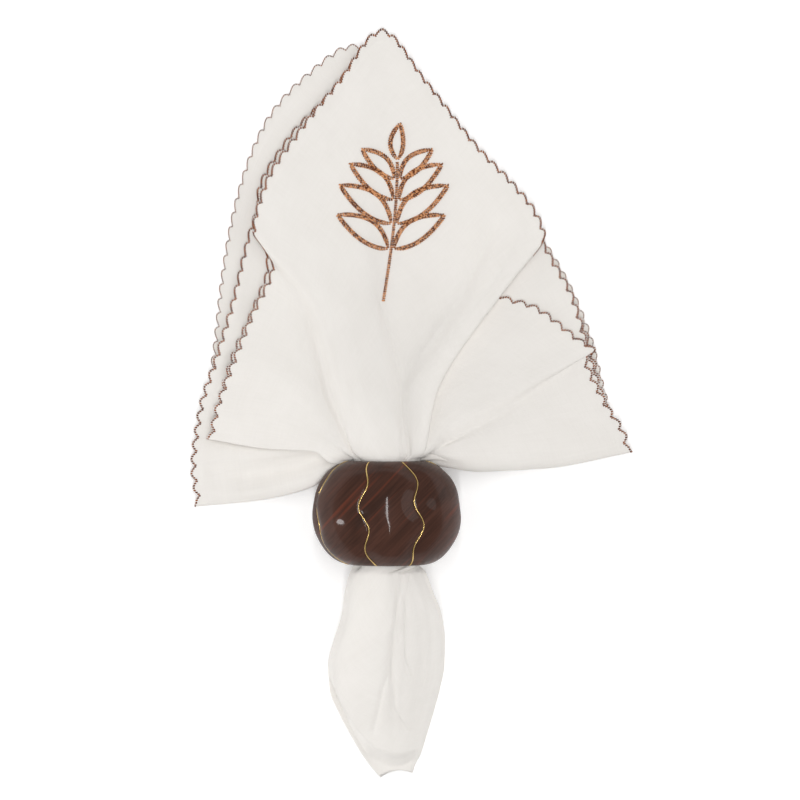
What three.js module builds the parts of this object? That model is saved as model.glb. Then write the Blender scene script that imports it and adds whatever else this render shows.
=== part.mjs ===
// Square linen napkin, folded in quarters, drawn by its middle through a lobed wooden ring.
// Millimetres, +Z up. The ring lies on its side with its axis along Y. The four layers of the
// napkin fan out towards +Y, and the middle of the cloth hangs out as a closed tail towards -Y.
// The origin is the flat spot under the ring.
import * as THREE from 'three';

// The cloth
const CLOTH_THICKNESS = 1.0;
const LAYER_STEP = 2;
const LOWEST_LAYER = CLOTH_THICKNESS / 2;
const EDGE_BULGE = 1.6;
const EDGE_BULGE_SHARE = 0.45;
const SCALLOP_PITCH = 7.3;
const SCALLOP_DEPTH = 1.4;
const HEM_INSET = 6.5;
const COLUMN_SPACING = 24;

// The ring, a turned ball with its ends cut off, in six soft lobes
const RING_HALF_LENGTH = 25.3;
const RING_RADIUS = 36.2;
const RIM_RADIUS = 17.8;
const BORE_RADIUS = 16.8;
const MOUTH_RADIUS = 17.4;
const MOUTH_DEPTH = 3;
const FLAT_SPOT_DEPTH = 0.8;
const AXIS_HEIGHT = RING_RADIUS - FLAT_SPOT_DEPTH;
const VALLEY_DEPTH = 1.4;
const VALLEY_REACH = 15;
const VALLEY_POWER = 2.2;

// The brass wires laid in the valleys, by their angle from the top at mid ring, in degrees
const WIRE_ANGLES = [-78, -19, 27, 93, 150, 214];
const WIRE_RADIUS = 0.5;
const WIRE_DEPTH = 0.7;
const GROOVE_HALF_WIDTH = 1.1;
const GROOVE_FLOOR_SHARE = 0.85;
const GROOVE_DEPTH = 2.0;
const WIRE_DRIFT = 3;
const WIRE_WAVE = 3.7;
const WIRE_WAVES = 2.3;
const WIRE_PHASE = 3.1;
const WIRE_PHASE_STEP = 0.5;

// The cloth's throat inside the ring
const THROAT_HALF_LENGTH = 26;
const THROAT_RADIUS = 14.9;
const THROAT_WAIST_RADIUS = 15.3;
const THROAT_WAIST_HALF_LENGTH = 12;
const LIP_LENGTH = 4;
const LIP_FLARE = 1.25;
const LIP_REACH = 26;
const LOWER_NEAR_SHARE = 0.32;
const LOWER_FAR_SHARE = 0.68;

const table = (columns, rows) => rows.map((row) => Object.fromEntries(
  columns.map((column, index) => [column, row[index]]),
));

// The front layer, fold by fold from its left edge to its right edge. Each fold leaves the throat
// at a place given as a share of the throat's radius, and passes a near point, a far point and the
// hem, with its lift over its even height. The last column is its place across the tail.
const FRONT_TIP = 10;
const FRONT_FOLDS = table(
  ['fold', 'throatX', 'throatZ', 'nearX', 'nearY', 'nearLift', 'farX', 'farY', 'farLift',
    'hemX', 'hemY', 'hemLift', 'across'],
  [
    ['left edge', -1.00, 0.03, -34, 28, 0.3, -59, 31.5, 0.2, -89.5, 36.5, 0.1, 0],
    ['left panel low', -0.98, 0.18, -32, 35.5, 0.9, -55.5, 44, 0.7, -86.5, 50, 0.2, 0.015],
    ['left panel middle', -0.92, 0.30, -30, 41.5, 1.3, -49.5, 60, 1.1, -79, 72, 0.3, 0.035],
    ['left panel high', -0.83, 0.35, -27.5, 47.5, 0.9, -43, 77, 0.7, -68.5, 98.5, 0.3, 0.055],
    ['left valley', -0.75, 0.36, -25.5, 52.5, 0.1, -36.5, 88, 0.1, -58, 124, 0.2, 0.075],
    ['left wall', -0.76, 0.51, -24.5, 55, 3.2, -35, 92, 2.7, -62.5, 132, 2.7, 0.09],
    ['kite left edge', -0.72, 0.66, -22.5, 57.5, 7.2, -33.5, 97, 6.2, -67.5, 140, 5.2, 0.11],
    ['left tube shoulder', -0.51, 0.84, -18.5, 62, 10.7, -30.5, 109.5, 7.7, -65, 163.5, 3.2, 0.18],
    ['left tube crest', -0.12, 0.98, -12, 67, 11.7, -21, 123.5, 6.7, -49.5, 189.5, 1.7, 0.32],
    ['left tube inside', 0.27, 0.90, -2, 67.5, 9.7, -11.5, 137, 5.2, -26, 217, 0.9, 0.46],
    ['tip', 0.43, 0.60, 4.5, 62.5, 3.7, -3, 144.5, 3.5, -2.5, 240.5, 0.5, 0.52],
    ['centre floor', 0.49, 0.50, 7, 61.5, 2.7, 18.5, 137, 1.9, 19, 215.5, 0.5, 0.545],
    ['centre right', 0.55, 0.54, 9, 60.5, 2.7, 39, 123.5, 2.1, 46, 181.5, 0.7, 0.57],
    ['right tube inside', 0.62, 0.75, 12.5, 60.5, 6.7, 48, 120.5, 4.3, 63.5, 163.5, 1.3, 0.59],
    ['right tube crest', 0.70, 0.71, 18.5, 60.5, 8.7, 56, 117.5, 6.5, 74.5, 149.5, 2.9, 0.615],
    ['kite right edge', 0.81, 0.58, 24.5, 59.5, 6.3, 56, 107.5, 5.3, 79, 137.5, 3.7, 0.64],
    ['edge turned under', 0.86, 0.49, 24, 58, 4.1, 52.5, 103, 3.3, 75, 130, 2.3, 0.655],
    ['hidden turn', 0.77, 0.41, 19, 56, 1.9, 43, 97, 1.7, 61, 118.5, 1.3, 0.67],
    ['panel coming out', 0.88, 0.34, 23, 54, 0.3, 46, 89.5, 0.2, 55.5, 108, 0.1, 0.70],
    ['right panel middle', 0.94, 0.27, 26.5, 50, 1.3, 58.5, 79.5, 1.1, 73.5, 101.5, 0.3, 0.76],
    ['right panel high', 0.97, 0.19, 30, 45, 1.9, 70, 68.5, 1.7, 93, 86, 0.6, 0.81],
    ['right step', 0.99, 0.12, 31.5, 41, 1.7, 72.5, 63, 1.7, 102, 79, 1.1, 0.84],
    ['right crease', 0.985, 0.05, 31.5, 37, 0.1, 69, 58, 0.1, 97.5, 73, 0.1, 0.86],
    ['right lower panel', 0.995, -0.03, 33.5, 33, 1.3, 75.5, 44.5, 1.5, 108, 53, 0.4, 0.90],
    ['right low roll', 0.995, -0.11, 37, 26.5, 1.9, 78.5, 29, 1.7, 118, 37, 0.2, 0.95],
    ['right edge', 0.97, -0.20, 39.5, 21.5, -0.1, 79.5, 22.5, 0.1, 121, 30.5, 0.1, 1],
  ],
);

// The three layers under it, by the points of their hems from the left corner over the tip to the
// right corner, and by the points that their left and right edges pass.
const LOWER_LAYERS = {
  2: {
    tip: 7,
    section: { halfWidth: 0.82, height: -0.05, sag: 0.01, lipStep: 2 },
    rise: { height: AXIS_HEIGHT - 1, reach: 66, power: 2 },
    left: table(['x', 'y'], [[-34.5, 27.5], [-59.5, 31.5]]),
    right: table(['x', 'y'], [[37, 24], [78.5, 24]]),
    hem: table(['x', 'y'], [
      [-90, 36.5], [-78.5, 77], [-64.5, 105], [-62.5, 124], [-57.5, 152], [-46.5, 179.5],
      [-27, 208.5], [-2.5, 237.5], [21.5, 208.5], [49, 174.5], [73, 143.5], [84.5, 124],
      [93, 108], [104.5, 73], [111.5, 54], [120, 32],
    ]),
  },
  3: {
    tip: 8,
    section: { halfWidth: 0.80, height: -0.17, sag: 0.05, lipStep: 2 },
    rise: { height: AXIS_HEIGHT - 4, reach: 64, power: 2 },
    left: table(['x', 'y'], [[-38.5, 16.5], [-64.5, 7]]),
    right: table(['x', 'y'], [[37, 24], [78.5, 24]]),
    hem: table(['x', 'y'], [
      [-96, 3.5], [-98.5, 21], [-95, 50], [-87, 76], [-79, 100], [-66.5, 152.5],
      [-51.5, 188.5], [-28.5, 214.5], [-4.5, 238], [31.5, 195.5], [56, 166], [77.5, 136],
      [92, 112], [102, 90], [113, 51], [120, 32],
    ]),
  },
  4: {
    tip: 8,
    section: { halfWidth: 0.93, height: -0.29, sag: 0.66, lipStep: 1 },
    rise: { height: AXIS_HEIGHT - 15.5, reach: 44, power: 2.2 },
    left: table(['x', 'y'], [[-37.5, 17], [-63.5, 7.5]]),
    right: table(['x', 'y'], [[39.5, 21.5], [80, 22.5]]),
    hem: table(['x', 'y'], [
      [-96, 3.5], [-98.5, 22], [-95, 45], [-89, 71], [-83, 120], [-77, 152],
      [-62, 193.5], [-40.5, 218.5], [-17.5, 233], [16.5, 206], [51.5, 170], [79, 137],
      [95, 111], [105, 89], [114.5, 51], [121.5, 30.5],
    ]),
  },
};

// The tail from the ring to the middle of the cloth: its sides, its bottom and top, and how wide
// the folded tongue of the two inner layers still is.
const TAIL_SECTIONS = table(
  ['y', 'left', 'right', 'bottom', 'top', 'tongue'],
  [
    [-38, -21, 24, 15, 50, 38],
    [-51, -23, 28, 7.5, 46, 43],
    [-64, -26.5, 29, 2, 41, 47],
    [-76, -29.5, 29, 0.5, 35.5, 48],
    [-88.5, -28, 27, 0.5, 29.5, 44],
    [-101, -23.5, 23.5, 0.5, 23, 34],
    [-112, -18.5, 20, 0.5, 16.5, 23],
    [-121.5, -13.5, 16.5, 0.5, 11, 12],
    [-130, -6, 13, 0.5, 7, 4],
  ],
);
const TAIL_END = new THREE.Vector3(4.5, -134, 3.5);
const TAIL_WAIST = 0.42;
const TAIL_FULLNESS = 2.3;
const TAIL_END_STEP = 0.6;
const TONGUE_INSET = 0.6;

// The long creases in the top of the tail, each from the ring's mouth on
const TAIL_CREASES = [
  { depth: 2.4, reach: 5, path: table(['x', 'y'], [[7, -26], [3, -64], [2, -85], [-5, -103]]) },
  { depth: 1.8, reach: 4, path: table(['x', 'y'], [[15, -28], [20, -53], [19, -78], [16, -87]]) },
];

// The rows of points along the cloth in the fan, as shares of the way from the throat to the hem
const FAN_ROWS = [0.07, 0.18, 0.32, 0.46, 0.6, 0.74, 0.87];
const FOLD_KNOTS = [0, 0.09, 0.35, 0.7, 1];
const HEM_PROBE = 0.94;
const HEM_SAMPLES = 400;

// A cubic curve through rows of numbers that adds no waves between them
function curveThrough(knots, rows) {
  const spans = knots.slice(1).map((knot, index) => knot - knots[index]);
  const slopes = spans.map((span, index) => rows[index].map(
    (value, column) => (rows[index + 1][column] - value) / span,
  ));
  const tangent = (index, column) => {
    if (index === 0) return slopes[0][column];
    if (index === rows.length - 1) return slopes[index - 1][column];
    const before = slopes[index - 1][column];
    const after = slopes[index][column];
    if (before * after <= 0) return 0;
    const weightBefore = 2 * spans[index] + spans[index - 1];
    const weightAfter = spans[index] + 2 * spans[index - 1];
    return (weightBefore + weightAfter) / (weightBefore / before + weightAfter / after);
  };
  const tangents = rows.map((row, index) => row.map((_, column) => tangent(index, column)));
  return (place) => {
    let index = spans.length - 1;
    while (index > 0 && place < knots[index]) index -= 1;
    const span = spans[index];
    const t = (place - knots[index]) / span;
    const back = 1 - t;
    return rows[index].map((value, column) => (
      value * (1 + 2 * t) * back * back
      + tangents[index][column] * span * t * back * back
      + rows[index + 1][column] * t * t * (3 - 2 * t)
      - tangents[index + 1][column] * span * t * t * back
    ));
  };
}

const layerFloor = (layer) => LOWEST_LAYER + (4 - layer) * LAYER_STEP;

// The even height of a lower layer, which falls from the throat to the table
function layerHeight(layer, x, y) {
  const { height, reach, power } = LOWER_LAYERS[layer].rise;
  const distance = Math.hypot(x, y - THROAT_HALF_LENGTH);
  const low = layerFloor(layer);
  return low + (height - low) * Math.exp(-((distance / reach) ** power));
}

// A fold of the front layer as a curve from the throat to the hem
function frontFold(row) {
  const x = row.throatX * THROAT_RADIUS;
  const mouthLift = AXIS_HEIGHT + row.throatZ * THROAT_RADIUS
    - layerHeight(2, x, THROAT_HALF_LENGTH) - LAYER_STEP;
  const plan = curveThrough(FOLD_KNOTS, [
    [x, THROAT_HALF_LENGTH, mouthLift],
    [x * LIP_FLARE, THROAT_HALF_LENGTH + LIP_LENGTH, mouthLift],
    [row.nearX, row.nearY, row.nearLift],
    [row.farX, row.farY, row.farLift],
    [row.hemX, row.hemY, row.hemLift],
  ]);
  return (place) => {
    const [px, py, lift] = plan(place);
    return [px, py, layerHeight(2, px, py) + LAYER_STEP + lift];
  };
}

// A line of a lower layer from the throat to one point of its hem
function lowerLine(layer, index) {
  const { hem, section, left, right } = LOWER_LAYERS[layer];
  const last = hem.length - 1;
  const angle = Math.PI * (1 - index / last);
  const x = section.halfWidth * THROAT_RADIUS * Math.cos(angle);
  const z = AXIS_HEIGHT + (section.height - section.sag * Math.sin(angle)) * THROAT_RADIUS;
  const lip = { x: x * LIP_FLARE, y: THROAT_HALF_LENGTH + LIP_LENGTH + section.lipStep };
  const { x: hemX, y: hemY } = hem[index];
  const between = (share) => ({
    x: lip.x + (hemX - lip.x) * share,
    y: lip.y + (hemY - lip.y) * share,
  });
  let [near, far] = [between(LOWER_NEAR_SHARE), between(LOWER_FAR_SHARE)];
  if (index === 0) [near, far] = left;
  if (index === last) [near, far] = right;
  const plan = curveThrough(FOLD_KNOTS, [
    [x, THROAT_HALF_LENGTH], [lip.x, lip.y], [near.x, near.y], [far.x, far.y], [hemX, hemY],
  ]);
  const mouthLift = z - layerHeight(layer, x, THROAT_HALF_LENGTH);
  return (place) => {
    const [px, py] = plan(place);
    const beyond = Math.max(Math.hypot(px, py - THROAT_HALF_LENGTH) - Math.abs(x), 0);
    const lift = mouthLift * Math.exp(-((beyond / LIP_REACH) ** 2));
    return [px, py, layerHeight(layer, px, py) + lift];
  };
}

// Shares of the way along a hem for each of its points, with the tip at the middle
function hemShares(points, tip) {
  const run = [0];
  points.slice(1).forEach((point, index) => {
    run.push(run[index] + Math.hypot(point.x - points[index].x, point.y - points[index].y));
  });
  return run.map((length, index) => (index <= tip
    ? 0.5 * (length / run[tip])
    : 0.5 + 0.5 * ((length - run[tip]) / (run[run.length - 1] - run[tip]))));
}

// One layer of the fan: its lines, where they meet the hem, and their places across the tail
function makeLayer(number) {
  const front = number === 1;
  const points = front
    ? FRONT_FOLDS.map(({ hemX, hemY }) => ({ x: hemX, y: hemY }))
    : LOWER_LAYERS[number].hem;
  const lines = points.map((_, index) => (front
    ? frontFold(FRONT_FOLDS[index])
    : lowerLine(number, index)));
  const shares = hemShares(points, front ? FRONT_TIP : LOWER_LAYERS[number].tip);
  const across = points.map((_, index) => [front
    ? FRONT_FOLDS[index].across
    : index / (points.length - 1)]);
  const acrossAt = curveThrough(shares, across);
  const rowAt = (place) => {
    const curve = curveThrough(shares, lines.map((line) => line(place)));
    return (share) => new THREE.Vector3(...curve(share));
  };
  const columns = [];
  points.slice(1).forEach((point, index) => {
    const width = Math.hypot(point.x - points[index].x, point.y - points[index].y);
    const parts = Math.max(1, Math.round(width / COLUMN_SPACING));
    for (let part = 0; part < parts; part += 1) {
      columns.push(THREE.MathUtils.lerp(shares[index], shares[index + 1], part / parts));
    }
  });
  columns.push(1);
  return { number, columns, rowAt, acrossAt: (share) => acrossAt(share)[0] };
}

// Scallops along one hem: each is a round tab between two notches
function scallopShares(hemRow) {
  const shares = [];
  for (const [from, to] of [[0, 0.5], [0.5, 1]]) {
    const samples = Array.from({ length: HEM_SAMPLES + 1 }, (_, index) => (
      THREE.MathUtils.lerp(from, to, index / HEM_SAMPLES)));
    const run = [0];
    samples.slice(1).forEach((share, index) => {
      run.push(run[index] + hemRow(share).distanceTo(hemRow(samples[index])));
    });
    const total = run[HEM_SAMPLES];
    const steps = 3 * Math.round(total / SCALLOP_PITCH);
    const shareAt = curveThrough(run, samples.map((share) => [share]));
    for (let step = 0; step < steps; step += 1) {
      shares.push({ share: shareAt((total * step) / steps)[0], notch: step % 3 === 0 });
    }
  }
  shares.push({ share: 1, notch: true });
  return shares;
}

// The point that lies a short way in from the hem, along the cloth
function insideHem(layer) {
  const hemRow = layer.rowAt(1);
  const probeRow = layer.rowAt(HEM_PROBE);
  return (share, inset) => {
    const point = hemRow(share);
    const inward = probeRow(share).sub(point).normalize();
    return point.addScaledVector(inward, inset);
  };
}

// The tail's lines of one layer at a section
function tailPoint(number, across, section) {
  const { y, left, right, bottom, top, tongue } = section;
  const outer = 1.5 * LAYER_STEP;
  const middle = Math.max(bottom + (top - bottom) * TAIL_WAIST, bottom + outer);
  const swell = Math.max(1 - Math.abs(2 * across - 1) ** TAIL_FULLNESS, 0) ** 0.5;
  if (number === 1) {
    const z = middle + outer + (top - middle - outer) * swell;
    return new THREE.Vector3(THREE.MathUtils.lerp(left, right, across), y, z);
  }
  if (number === 4) {
    const z = middle - outer - (middle - outer - bottom) * swell;
    return new THREE.Vector3(THREE.MathUtils.lerp(left, right, across), y, z);
  }
  const side = number === 2 ? 1 : -1;
  return new THREE.Vector3(left + TONGUE_INSET + tongue * across, y, middle + side * 0.5 * LAYER_STEP);
}

// How deep a crease presses the cloth at a point
function creaseDepth(crease, x, y) {
  const { path, depth, reach } = crease;
  let nearest = Infinity;
  path.slice(1).forEach((end, index) => {
    const start = path[index];
    const runX = end.x - start.x;
    const runY = end.y - start.y;
    const share = ((x - start.x) * runX + (y - start.y) * runY) / (runX ** 2 + runY ** 2);
    const held = THREE.MathUtils.clamp(share, 0, 1);
    nearest = Math.min(nearest, Math.hypot(x - start.x - held * runX, y - start.y - held * runY));
  });
  return depth * Math.exp(-((nearest / reach) ** 2));
}

// The rows of one layer from the tail's end to the last row before the hem
function layerRows(layer) {
  const { number, columns, rowAt, acrossAt } = layer;
  const mouth = columns.map(rowAt(0));
  const throatRow = (y, radius) => mouth.map((point) => new THREE.Vector3(
    (point.x * radius) / THROAT_RADIUS,
    y,
    AXIS_HEIGHT + ((point.z - AXIS_HEIGHT) * radius) / THROAT_RADIUS,
  ));
  const tail = TAIL_SECTIONS.map((section) => columns.map((share) => {
    const point = tailPoint(number, acrossAt(share), section);
    if (number === 1) {
      TAIL_CREASES.forEach((crease) => {
        point.z -= creaseDepth(crease, point.x, point.y);
      });
    }
    return point;
  }));
  const inside = insideHem(layer);
  return [
    ...tail.reverse(),
    throatRow(-THROAT_HALF_LENGTH, THROAT_RADIUS),
    throatRow(-THROAT_WAIST_HALF_LENGTH, THROAT_WAIST_RADIUS),
    throatRow(THROAT_WAIST_HALF_LENGTH, THROAT_WAIST_RADIUS),
    mouth,
    ...FAN_ROWS.map((place) => columns.map(rowAt(place))),
    columns.map((share) => inside(share, HEM_INSET)),
  ];
}

// The layers' rows joined into one closed row, with a rounded edge wherever two layers meet
function joinRow(strands, edgeDirections) {
  const joined = [];
  strands.forEach((strand, index) => {
    const next = strands[(index + 1) % strands.length];
    const end = strand[strand.length - 1];
    const start = next[0];
    const bulge = Math.min(end.distanceTo(start) * EDGE_BULGE_SHARE, EDGE_BULGE);
    joined.push(...strand);
    joined.push(end.clone().add(start).multiplyScalar(0.5)
      .addScaledVector(edgeDirections[index], bulge));
  });
  return joined;
}

function edgeDirectionsOf(strands) {
  return strands.map((strand, index) => {
    const next = strands[(index + 1) % strands.length];
    const leaving = strand[strand.length - 1].clone().sub(strand[strand.length - 3]);
    const meeting = next[0].clone().sub(next[2]);
    leaving.setZ(0).normalize();
    meeting.setZ(0).normalize();
    return leaving.add(meeting).normalize();
  });
}

// The order in which one trip round the folded cloth passes its layers
const ROUND_TRIP = [
  { number: 1, forward: true },
  { number: 4, forward: false },
  { number: 3, forward: true },
  { number: 2, forward: false },
];
const ordered = (list, forward) => (forward ? list : [...list].reverse());

function makeNapkin() {
  const layers = ROUND_TRIP.map(({ number }) => makeLayer(number));
  const rowsOfLayers = layers.map(layerRows);
  const rows = rowsOfLayers[0].map((_, row) => {
    const strands = ROUND_TRIP.map(({ forward }, index) => ordered(rowsOfLayers[index][row], forward));
    return joinRow(strands, edgeDirectionsOf(strands));
  });
  const count = rows[0].length;

  // The hem's fine points, each with its place among the columns
  const lastRow = ROUND_TRIP.map(({ forward }, index) => ordered(rowsOfLayers[index].at(-1), forward));
  const directions = edgeDirectionsOf(lastRow);
  const hemStrands = [];
  const places = [];
  let firstColumn = 0;
  layers.forEach((layer, index) => {
    const { forward } = ROUND_TRIP[index];
    const inside = insideHem(layer);
    const tabs = scallopShares(layer.rowAt(1));
    const points = tabs.map(({ share, notch }) => inside(share, notch ? SCALLOP_DEPTH : 0));
    const placeOf = curveThrough(layer.columns, layer.columns.map((_, column) => [column]));
    const local = tabs.map(({ share }) => placeOf(share)[0]);
    const last = layer.columns.length - 1;
    hemStrands.push(ordered(points, forward));
    places.push(...ordered(local, forward).map((place) => (
      firstColumn + (forward ? place : last - place))));
    places.push(firstColumn + last + 1);
    firstColumn += last + 2;
  });
  const hem = joinRow(hemStrands, directions);

  return thickSheet(rows, hem, places, count);
}

// Smooth normals of the closed grid of rows
function gridNormals(rows, count) {
  const normals = rows.map((row) => row.map(() => new THREE.Vector3()));
  for (let row = 0; row < rows.length - 1; row += 1) {
    for (let column = 0; column < count; column += 1) {
      const next = (column + 1) % count;
      const corners = [[row, column], [row, next], [row + 1, next], [row + 1, column]];
      const [a, b, c, d] = corners.map(([r, k]) => rows[r][k]);
      const face = c.clone().sub(a).cross(d.clone().sub(b)).normalize();
      corners.forEach(([r, k]) => normals[r][k].add(face));
    }
  }
  normals.flat().forEach((normal) => normal.normalize());
  return normals;
}

// Two skins on either side of the middle surface, closed at the tail's end and along the hem
function thickSheet(rows, hem, places, count) {
  const normals = gridNormals(rows, count);
  const hemNormals = places.map((place) => {
    const column = Math.floor(place) % count;
    const rest = place - Math.floor(place);
    return normals.at(-1)[column].clone().lerp(normals.at(-1)[(column + 1) % count], rest).normalize();
  });
  const positions = [];
  const faces = [];
  const addPoint = (point) => positions.push(point.x, point.y, point.z) / 3 - 1;
  const addSkin = (side) => {
    const offset = (side * CLOTH_THICKNESS) / 2;
    const grid = rows.map((row, r) => row.map((point, k) => (
      addPoint(point.clone().addScaledVector(normals[r][k], offset)))));
    const edge = hem.map((point, index) => (
      addPoint(point.clone().addScaledVector(hemNormals[index], offset))));
    const end = addPoint(TAIL_END.clone().setY(TAIL_END.y - side * TAIL_END_STEP));
    const face = (a, b, c) => faces.push(side > 0 ? [a, b, c] : [a, c, b]);
    for (let k = 0; k < count; k += 1) {
      const next = (k + 1) % count;
      face(end, grid[0][next], grid[0][k]);
      for (let r = 0; r < rows.length - 1; r += 1) {
        face(grid[r][k], grid[r][next], grid[r + 1][next]);
        face(grid[r][k], grid[r + 1][next], grid[r + 1][k]);
      }
    }
    zip(grid.at(-1), edge, places, face);
    return edge;
  };
  const outer = addSkin(1);
  const inner = addSkin(-1);
  outer.forEach((point, index) => {
    const next = (index + 1) % outer.length;
    faces.push([point, outer[next], inner[next]], [point, inner[next], inner[index]]);
  });
  return closedGeometry(positions, faces);
}

// Triangles between a coarse closed row and a fine one, taken in the order of their places
function zip(coarse, fine, places, face) {
  const count = coarse.length;
  let k = 0;
  let f = 0;
  while (k < count || f < fine.length) {
    const nextFine = f + 1 < fine.length ? places[f + 1] : count;
    const takeFine = f < fine.length && (k >= count || nextFine <= k + 0.5);
    if (takeFine) {
      face(coarse[k % count], fine[(f + 1) % fine.length], fine[f % fine.length]);
      f += 1;
    } else {
      face(coarse[k % count], coarse[(k + 1) % count], fine[f % fine.length]);
      k += 1;
    }
  }
}

function closedGeometry(positions, faces) {
  const corner = (index) => new THREE.Vector3().fromArray(positions, index * 3);
  const volume = faces.reduce((sum, [a, b, c]) => (
    sum + corner(a).dot(corner(b).cross(corner(c)))), 0);
  const outward = volume > 0 ? faces : faces.map(([a, b, c]) => [a, c, b]);
  const geometry = new THREE.BufferGeometry();
  geometry.setAttribute('position', new THREE.Float32BufferAttribute(positions, 3));
  geometry.setIndex(outward.flat());
  geometry.computeVertexNormals();
  return geometry;
}

// The ring's surface, by the angle up its rounded side, -90 to 90 degrees, and round its axis
const sideRadius = (side) => RIM_RADIUS + (RING_RADIUS - RIM_RADIUS) * Math.cos(side);
const sideY = (side) => RING_HALF_LENGTH * Math.sin(side);

// A wire's angle round the ring, which drifts and waves on its way over the side
function wireAngle(index, side) {
  const share = Math.sin(side);
  const phase = WIRE_PHASE + WIRE_PHASE_STEP * (index % 2);
  const wave = WIRE_WAVE * Math.sin(Math.PI * WIRE_WAVES * share + phase);
  return THREE.MathUtils.degToRad(WIRE_ANGLES[index] - WIRE_DRIFT * share + wave);
}

const FULL_TURN = 2 * Math.PI;
const SIDE_STEPS = 16;
const LOBE_STEPS = 10;
const sideAngles = Array.from({ length: SIDE_STEPS + 1 }, (_, step) => (
  Math.PI * (step / SIDE_STEPS - 0.5)));

function valleyDepth(distance) {
  return VALLEY_DEPTH * Math.max(1 - distance / VALLEY_REACH, 0) ** VALLEY_POWER;
}

// The columns of the ring's surface: across each groove, then over the lobe to the next wire
function ringColumns(side) {
  const radius = sideRadius(side);
  const fade = THREE.MathUtils.clamp(Math.cos(side) / Math.cos(sideAngles[SIDE_STEPS - 1]), 0, 1);
  const half = GROOVE_HALF_WIDTH / radius;
  const columns = [];
  WIRE_ANGLES.forEach((_, index) => {
    const angle = wireAngle(index, side);
    const next = (index + 1) % WIRE_ANGLES.length;
    const nextAngle = wireAngle(next, side) + (next === 0 ? FULL_TURN : 0);
    const floor = radius - (valleyDepth(0) + GROOVE_DEPTH) * fade;
    const brink = radius - valleyDepth(GROOVE_HALF_WIDTH) * fade;
    columns.push({ angle: angle - half * GROOVE_FLOOR_SHARE, radius: floor });
    columns.push({ angle: angle + half * GROOVE_FLOOR_SHARE, radius: floor });
    columns.push({ angle: angle + half, radius: brink });
    for (let step = 1; step < LOBE_STEPS; step += 1) {
      const turn = THREE.MathUtils.lerp(angle + half, nextAngle - half, step / LOBE_STEPS);
      const distance = radius * Math.min(turn - angle, nextAngle - turn);
      columns.push({ angle: turn, radius: radius - valleyDepth(distance) * fade });
    }
    columns.push({ angle: nextAngle - half, radius: brink });
  });
  return columns;
}

const onRing = (radius, angle, y) => new THREE.Vector3(
  radius * Math.sin(angle),
  y,
  Math.max(AXIS_HEIGHT + radius * Math.cos(angle), 0),
);

function makeRing() {
  const loops = sideAngles.map((side) => ringColumns(side).map(({ angle, radius }) => (
    onRing(radius, angle, sideY(side)))));
  const bore = [
    [MOUTH_RADIUS, RING_HALF_LENGTH],
    [BORE_RADIUS, RING_HALF_LENGTH - MOUTH_DEPTH],
    [BORE_RADIUS, MOUTH_DEPTH - RING_HALF_LENGTH],
    [MOUTH_RADIUS, -RING_HALF_LENGTH],
  ];
  bore.forEach(([radius, y]) => {
    const side = (Math.sign(y) * Math.PI) / 2;
    loops.push(ringColumns(side).map(({ angle }) => onRing(radius, angle, y)));
  });
  const count = loops[0].length;
  const faces = [];
  loops.forEach((_, loop) => {
    const nextLoop = (loop + 1) % loops.length;
    for (let k = 0; k < count; k += 1) {
      const next = (k + 1) % count;
      const [a, b] = [loop * count + k, loop * count + next];
      const [c, d] = [nextLoop * count + next, nextLoop * count + k];
      faces.push([a, b, c], [a, c, d]);
    }
  });
  return closedGeometry(loops.flat().flatMap((point) => point.toArray()), faces);
}

// A wire that lies in its groove and stops short of both rims
const WIRE_SIDES = 6;
function makeWire(index) {
  const sections = sideAngles.slice(1, -1).map((side) => {
    const radius = sideRadius(side) - VALLEY_DEPTH - WIRE_DEPTH;
    const angle = wireAngle(index, side);
    return Array.from({ length: WIRE_SIDES }, (_, corner) => {
      const turn = (FULL_TURN * corner) / WIRE_SIDES;
      const across = (WIRE_RADIUS * Math.cos(turn)) / radius;
      return onRing(radius + WIRE_RADIUS * Math.sin(turn), angle + across, sideY(side));
    });
  });
  const faces = [];
  const last = (sections.length - 1) * WIRE_SIDES;
  for (let corner = 0; corner < WIRE_SIDES; corner += 1) {
    const next = (corner + 1) % WIRE_SIDES;
    for (let start = 0; start < last; start += WIRE_SIDES) {
      faces.push([start + corner, start + next, start + WIRE_SIDES + next]);
      faces.push([start + corner, start + WIRE_SIDES + next, start + WIRE_SIDES + corner]);
    }
    if (corner > 1) {
      faces.push([0, corner, corner - 1], [last, last + corner - 1, last + corner]);
    }
  }
  return closedGeometry(sections.flat().flatMap((point) => point.toArray()), faces);
}

const finish = (color, roughness, metalness) => (
  new THREE.MeshStandardMaterial({ color, roughness, metalness }));

function addMesh(group, name, geometry, material) {
  const mesh = new THREE.Mesh(geometry, material);
  mesh.name = name;
  group.add(mesh);
}

const group = new THREE.Group();
addMesh(group, 'napkin', makeNapkin(), finish(0xf3efe6, 0.95, 0));
addMesh(group, 'ring_body', makeRing(), finish(0x4a221a, 0.2, 0));
WIRE_ANGLES.forEach((_, index) => {
  addMesh(group, `ring_wire_${index + 1}`, makeWire(index), finish(0xc9993f, 0.3, 1));
});

export default group;
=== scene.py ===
"""A square linen napkin, folded in quarters and drawn by its middle through a lobed wooden ring.

Sizes are in millimetres and become metres where a mesh is made. The ring lies on its side with its
axis along Y, the napkin's four layers fan out towards +Y, and its middle hangs out towards -Y.
"""
import logging
import math
from collections.abc import Sequence
from dataclasses import dataclass, field
from enum import Enum

import bpy
import numpy as np
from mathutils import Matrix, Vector
from mathutils.bvhtree import BVHTree


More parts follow.
